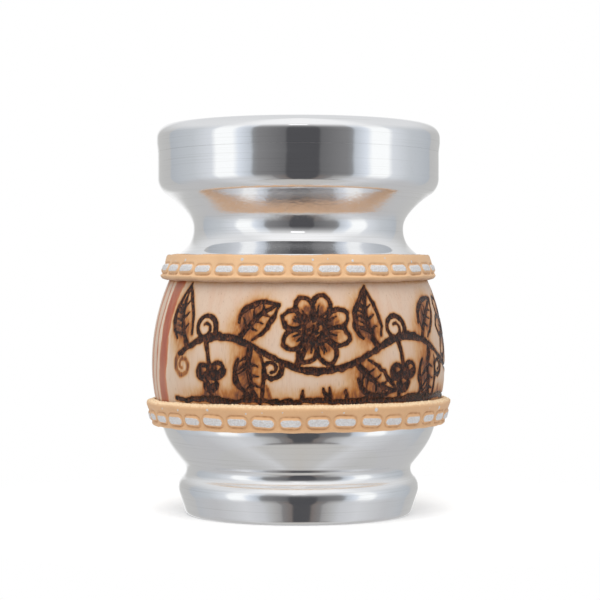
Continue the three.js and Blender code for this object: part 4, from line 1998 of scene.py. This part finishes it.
@dataclass
class Studio:
    """Camera, pale floor and soft light.

    Attributes:
        camera_place: Place of the camera.
        aim: Point that it looks at.
        lens: Its focal length.
        film: Width of its film.
        floor_size: Half the width of the floor.
        floor_gap: How far the floor lies below the foot.
        fade: Radii between which the floor gives way to the white background.
        paper_glow: Light that the floor adds for the eye alone, to be as white as the background.
        front_turn: Angle to +X of the middle of the open front.
        lamp_place: Place of the soft lamp.
        lamp_aim: Point that it shines on.
        lamp_size: Its diameter.
        lamp_power: Its power in watts.
    """

    camera_place: tuple[float, float, float] = (0.5, -534.0, 63.5)
    aim: tuple[float, float, float] = (0.5, 0.0, 60.5)
    lens: float = 112.2
    film: float = 36.0
    floor_size: float = 900.0
    floor_gap: float = 0.02
    fade: tuple[float, float] = (45.0, 120.0)
    paper_glow: float = 0.16
    front_turn: float = 4.0
    lamp_place: tuple[float, float, float] = (-30.0, -330.0, 640.0)
    lamp_aim: tuple[float, float, float] = (0.0, 0.0, 55.0)
    lamp_size: float = 500.0
    lamp_power: float = 2.6

    def build(self) -> None:
        """Sets up the whole studio."""
        bpy.context.scene.view_settings.view_transform = "Standard"
        self._camera()
        self._floor()
        self._world()
        self._lamp()

    def _camera(self) -> None:
        """Places the camera."""
        camera = bpy.data.objects.new("camera", bpy.data.cameras.new("camera"))
        camera.data.lens = self.lens
        camera.data.sensor_width = self.film
        camera.location = Vector(self.camera_place) * MM
        sight = Vector(self.aim) - Vector(self.camera_place)
        camera.rotation_euler = sight.to_track_quat("-Z", "Y").to_euler()
        bpy.context.scene.collection.objects.link(camera)
        bpy.context.scene.camera = camera

    def _floor(self) -> None:
        """Lays the pale floor."""
        half = self.floor_size * MM
        mesh = bpy.data.meshes.new("floor")
        corners = [(-half, -half, 0), (half, -half, 0), (half, half, 0), (-half, half, 0)]
        mesh.from_pydata(corners, [], [(0, 1, 2, 3)])
        floor = bpy.data.objects.new("floor", mesh)
        bpy.context.scene.collection.objects.link(floor)
        floor.location.z = -self.floor_gap * MM
        material = bpy.data.materials.new("pale_floor")
        material.use_nodes = True
        material.node_tree.nodes.clear()
        nodes = Nodes(material.node_tree)
        place = nodes.add("SeparateXYZ", {0: nodes.place()})
        away = nodes.fade(nodes.length(place.outputs["X"], place.outputs["Y"]), *self.fade)
        paper = nodes.add("BsdfDiffuse", {"Color": (*linear(248, 248, 248), 1.0)}).outputs[0]
        glow = nodes.add("Emission", {0: (1.0, 1.0, 1.0, 1.0), 1: self.paper_glow}).outputs[0]
        paper = nodes.add("AddShader", {0: paper, 1: glow}).outputs[0]
        clear = nodes.add("BsdfTransparent").outputs[0]
        seen = nodes.add("MixShader", {0: away, 1: paper, 2: clear}).outputs[0]
        mirrored = self._in_a_mirror(nodes, nodes.add("LightPath"))
        whole = nodes.add("MixShader", {0: mirrored, 1: seen, 2: clear}).outputs[0]
        nodes.add("OutputMaterial", {0: whole})
        mesh.materials.append(material)

    @staticmethod
    def _in_a_mirror(nodes: Nodes, path: bpy.types.Node) -> Socket:
        """Tells, by 1 or 0, whether something is seen in metal or through glass."""
        return nodes.math("MAXIMUM", path.outputs["Is Glossy Ray"], path.outputs["Is Transmission Ray"])

    def _world(self) -> None:
        """Lights the scene from all round.

        The camera sees white, and metal sees a pale room with soft boxes and an open front.
        """
        world = bpy.data.worlds.new("studio")
        bpy.context.scene.world = world
        world.use_nodes = True
        world.node_tree.nodes.clear()
        nodes = Nodes(world.node_tree)
        way = nodes.add("SeparateXYZ", {0: nodes.add("TexCoord").outputs["Generated"]})
        front = nodes.times(way.outputs["Y"], -1.0)
        turn = nodes.times(nodes.math("ARCTAN2", way.outputs["X"], front), DEGREES)
        level = nodes.times(nodes.math("ARCSINE", way.outputs["Z"]), DEGREES)
        soft = [
            (0, (0.46, 0.45, 0.44)),
            (90, (0.65, 0.65, 0.66)),
            (125, (0.84, 0.84, 0.84)),
            (180, (1.06, 1.06, 1.05)),
        ]
        plain = nodes.ramp(nodes.plus(level, 90.0), soft, span=180.0)
        path = nodes.add("LightPath")
        light = nodes.mix(self._in_a_mirror(nodes, path), plain, self._room(nodes, turn, level))
        shown = nodes.mix(path.outputs["Is Camera Ray"], light, (1.0, 1.0, 1.0))
        nodes.add("OutputWorld", {0: nodes.add("Background", {0: shown, 1: 1.0}).outputs[0]})

    def _room(self, nodes: Nodes, turn: Socket, level: Socket) -> Socket:
        """Lights the room that metal sees, from its open front round to the back.

        Args:
            nodes: The world's nodes.
            turn: Angles from the front towards +X, in degrees.
            level: Angles above the horizon, in degrees.

        Returns:
            The light from each way.
        """
        aside = nodes.math("ABSOLUTE", nodes.minus(turn, self.front_turn))
        upper_corners = nodes.fade(level, 2.0, 24.0, 0.0, 6.0)
        lower_corners = nodes.fade(level, -32.0, -47.0, 0.0, 4.0)
        aside = nodes.plus(aside, nodes.plus(upper_corners, lower_corners))
        dim, strip, back = (0.084, 0.084, 0.09), (1.06, 1.08, 1.08), (0.53, 0.53, 0.525)
        walls = [
            (0, dim),
            (12.5, dim),
            (14.5, (0.15, 0.15, 0.155)),
            (36, (0.23, 0.23, 0.235)),
            (40, (0.28, 0.29, 0.30)),
            (42.5, (0.54, 0.58, 0.63)),
            (53, (0.78, 0.83, 0.90)),
            (58, strip),
            (73, strip),
            (78, (0.74, 0.77, 0.81)),
            (98, (0.57, 0.60, 0.63)),
            (129, (0.47, 0.50, 0.535)),
            (132, back),
            (160, (0.56, 0.56, 0.55)),
            (172, (0.98, 0.98, 0.98)),
        ]
        low_walls = [
            (0, dim),
            (12, dim),
            (14.5, (0.20, 0.175, 0.165)),
            (24, (0.24, 0.235, 0.235)),
            (26, (0.35, 0.345, 0.345)),
            (31, (0.42, 0.415, 0.41)),
            (39, (0.51, 0.515, 0.52)),
            (46, (0.60, 0.61, 0.63)),
            (65, (0.68, 0.69, 0.71)),
            (80, (0.62, 0.63, 0.645)),
            (100, (0.54, 0.54, 0.55)),
            (180, back),
        ]
        table = [
            (0, (0.55, 0.53, 0.50)),
            (50, (0.56, 0.555, 0.545)),
            (66, (0.65, 0.655, 0.665)),
            (82, (0.60, 0.60, 0.605)),
            (100, (0.54, 0.54, 0.535)),
            (180, back),
        ]
        ceiling = [
            (0, (1.0, 1.0, 1.0)),
            (45, (0.97, 0.975, 0.98)),
            (75, (0.80, 0.81, 0.82)),
            (180, (0.76, 0.77, 0.78)),
        ]
        light = nodes.ramp(aside, walls, span=180.0)
        layers = [(low_walls, -12.0, -36.0), (table, -46.5, -50.5)]
        for stops, first, last in layers:
            light = nodes.mix(nodes.fade(level, first, last), light, nodes.ramp(aside, stops, span=180.0))
        brink = nodes.times(nodes.fade(level, -45.0, -46.2), nodes.fade(level, -48.4, -47.2))
        brink = nodes.times(brink, nodes.fade(aside, 50.0, 34.0, 0.0, 0.75))
        light = nodes.mix(brink, light, (0.12, 0.11, 0.11))
        light = nodes.mix(nodes.fade(level, 5.0, 38.0), light, nodes.ramp(aside, ceiling, span=180.0))
        bar = nodes.times(nodes.fade(nodes.math("ABSOLUTE", turn), 8.5, 7.0), nodes.fade(level, 22.0, 23.0))
        bar = nodes.times(bar, nodes.fade(level, 27.0, 26.0))
        return nodes.mix(bar, light, (1.5, 1.5, 1.5))

    def _lamp(self) -> None:
        """Hangs a soft lamp over the front."""
        lamp = bpy.data.lights.new("soft_lamp", "AREA")
        lamp.shape = "DISK"
        lamp.size = self.lamp_size * MM
        lamp.energy = self.lamp_power
        hung = bpy.data.objects.new("soft_lamp", lamp)
        hung.location = Vector(self.lamp_place) * MM
        beam = Vector(self.lamp_aim) - Vector(self.lamp_place)
        hung.rotation_euler = beam.to_track_quat("-Z", "Y").to_euler()
        hung.visible_glossy = False
        bpy.context.scene.collection.objects.link(hung)


def make_pieces(shared: SharedEffects) -> list[CupPiece]:
    """Lists the pieces of the cup with their sizes and finishes.

    Args:
        shared: Node groups.

    Returns:
        The pieces, in the order in which they are built.
    """
    wood = BurnedWood("burned_wood").make(shared)
    ring_metal = SpunAluminium("ring_aluminium", gloss=0.06).make(shared)
    collar_metal = SpunAluminium(
        "collar_aluminium",
        gloss=0.06,
        peel=0.03,
        peel_heights=(80.5, 93.5),
    ).make(shared)
    base_metal = SpunAluminium(
        "base_aluminium",
        gloss=0.07,
        line_depth=0.003,
        peel=0.008,
        peel_haze=0.1,
        peel_heights=(6.0, 14.0),
    ).make(shared)
    upper_hide = TannedLeather(
        "upper_leather",
        face=linear(230, 188, 144),
        edge=linear(206, 170, 138),
    ).make(shared)
    lower_hide = TannedLeather("lower_leather", face=linear(222, 177, 132)).make(shared)
    ring_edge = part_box("neck_collar")[1][2] / MM
    shell_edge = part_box("lower_band")[0][2] / MM + SHELL_LAP
    return [
        WoodVessel("wood_cup", Slot.WOOD, wood),
        SpunSheet(
            "base_shell",
            Slot.METAL,
            base_metal,
            name="spun_base",
            seed=21,
            edge=shell_edge,
            edge_reach=2.4,
            edge_tuck=0.35,
            swells=[Swell(height=20.8, reach=6.0, rise=0.8), Swell(height=10.6, reach=2.4, rise=0.15)],
        ),
        SpunSheet(
            "neck_collar",
            Slot.METAL,
            collar_metal,
            name="spun_collar",
            seed=22,
            fillet=0.006,
            edge=ring_edge,
            edge_reach=0.4,
            edge_grow=0.28,
            swells=[Swell(height=72.6, reach=2.05, rise=1.27)],
        ),
        SpunSheet(
            "mouth_ring",
            Slot.METAL,
            ring_metal,
            name="spun_ring",
            seed=22,
            fillet=0.006,
            edge=ring_edge,
            edge_reach=3.4,
            edge_tuck=0.3,
        ),
        LeatherBand(
            "upper_band",
            Slot.LEATHER,
            upper_hide,
            name="upper_leather_band",
            seam_turn=1.7,
            edge_bends=(0.9, 0.6),
            crown_lift=0.26,
            stitch=(6.2, 2.55),
            crown=(5.6, 1.8),
            seed=31,
            hang=(-0.5, -0.55, 0.0, -0.2),
            spread=(0.6, 0.1),
            upper_groove_tint=0.55,
            hug=(0.95, 0.75),
        ),
        LeatherBand(
            "lower_band",
            Slot.LEATHER,
            lower_hide,
            name="lower_leather_band",
            seam_turn=2.4,
            edge_bends=(0.6, 0.9),
            fuzz=0.11,
            crown=(5.6, 2.0),
            seed=32,
            hang=(0.56, 0.2, 0.2, 0.02),
        ),
    ]


def main() -> None:
    logging.basicConfig(level=logging.INFO, format="%(name)s %(message)s")
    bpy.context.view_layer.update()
    for piece in make_pieces(SharedEffects()):
        piece.build()
    Studio().build()


if __name__ == "__main__":
    main()
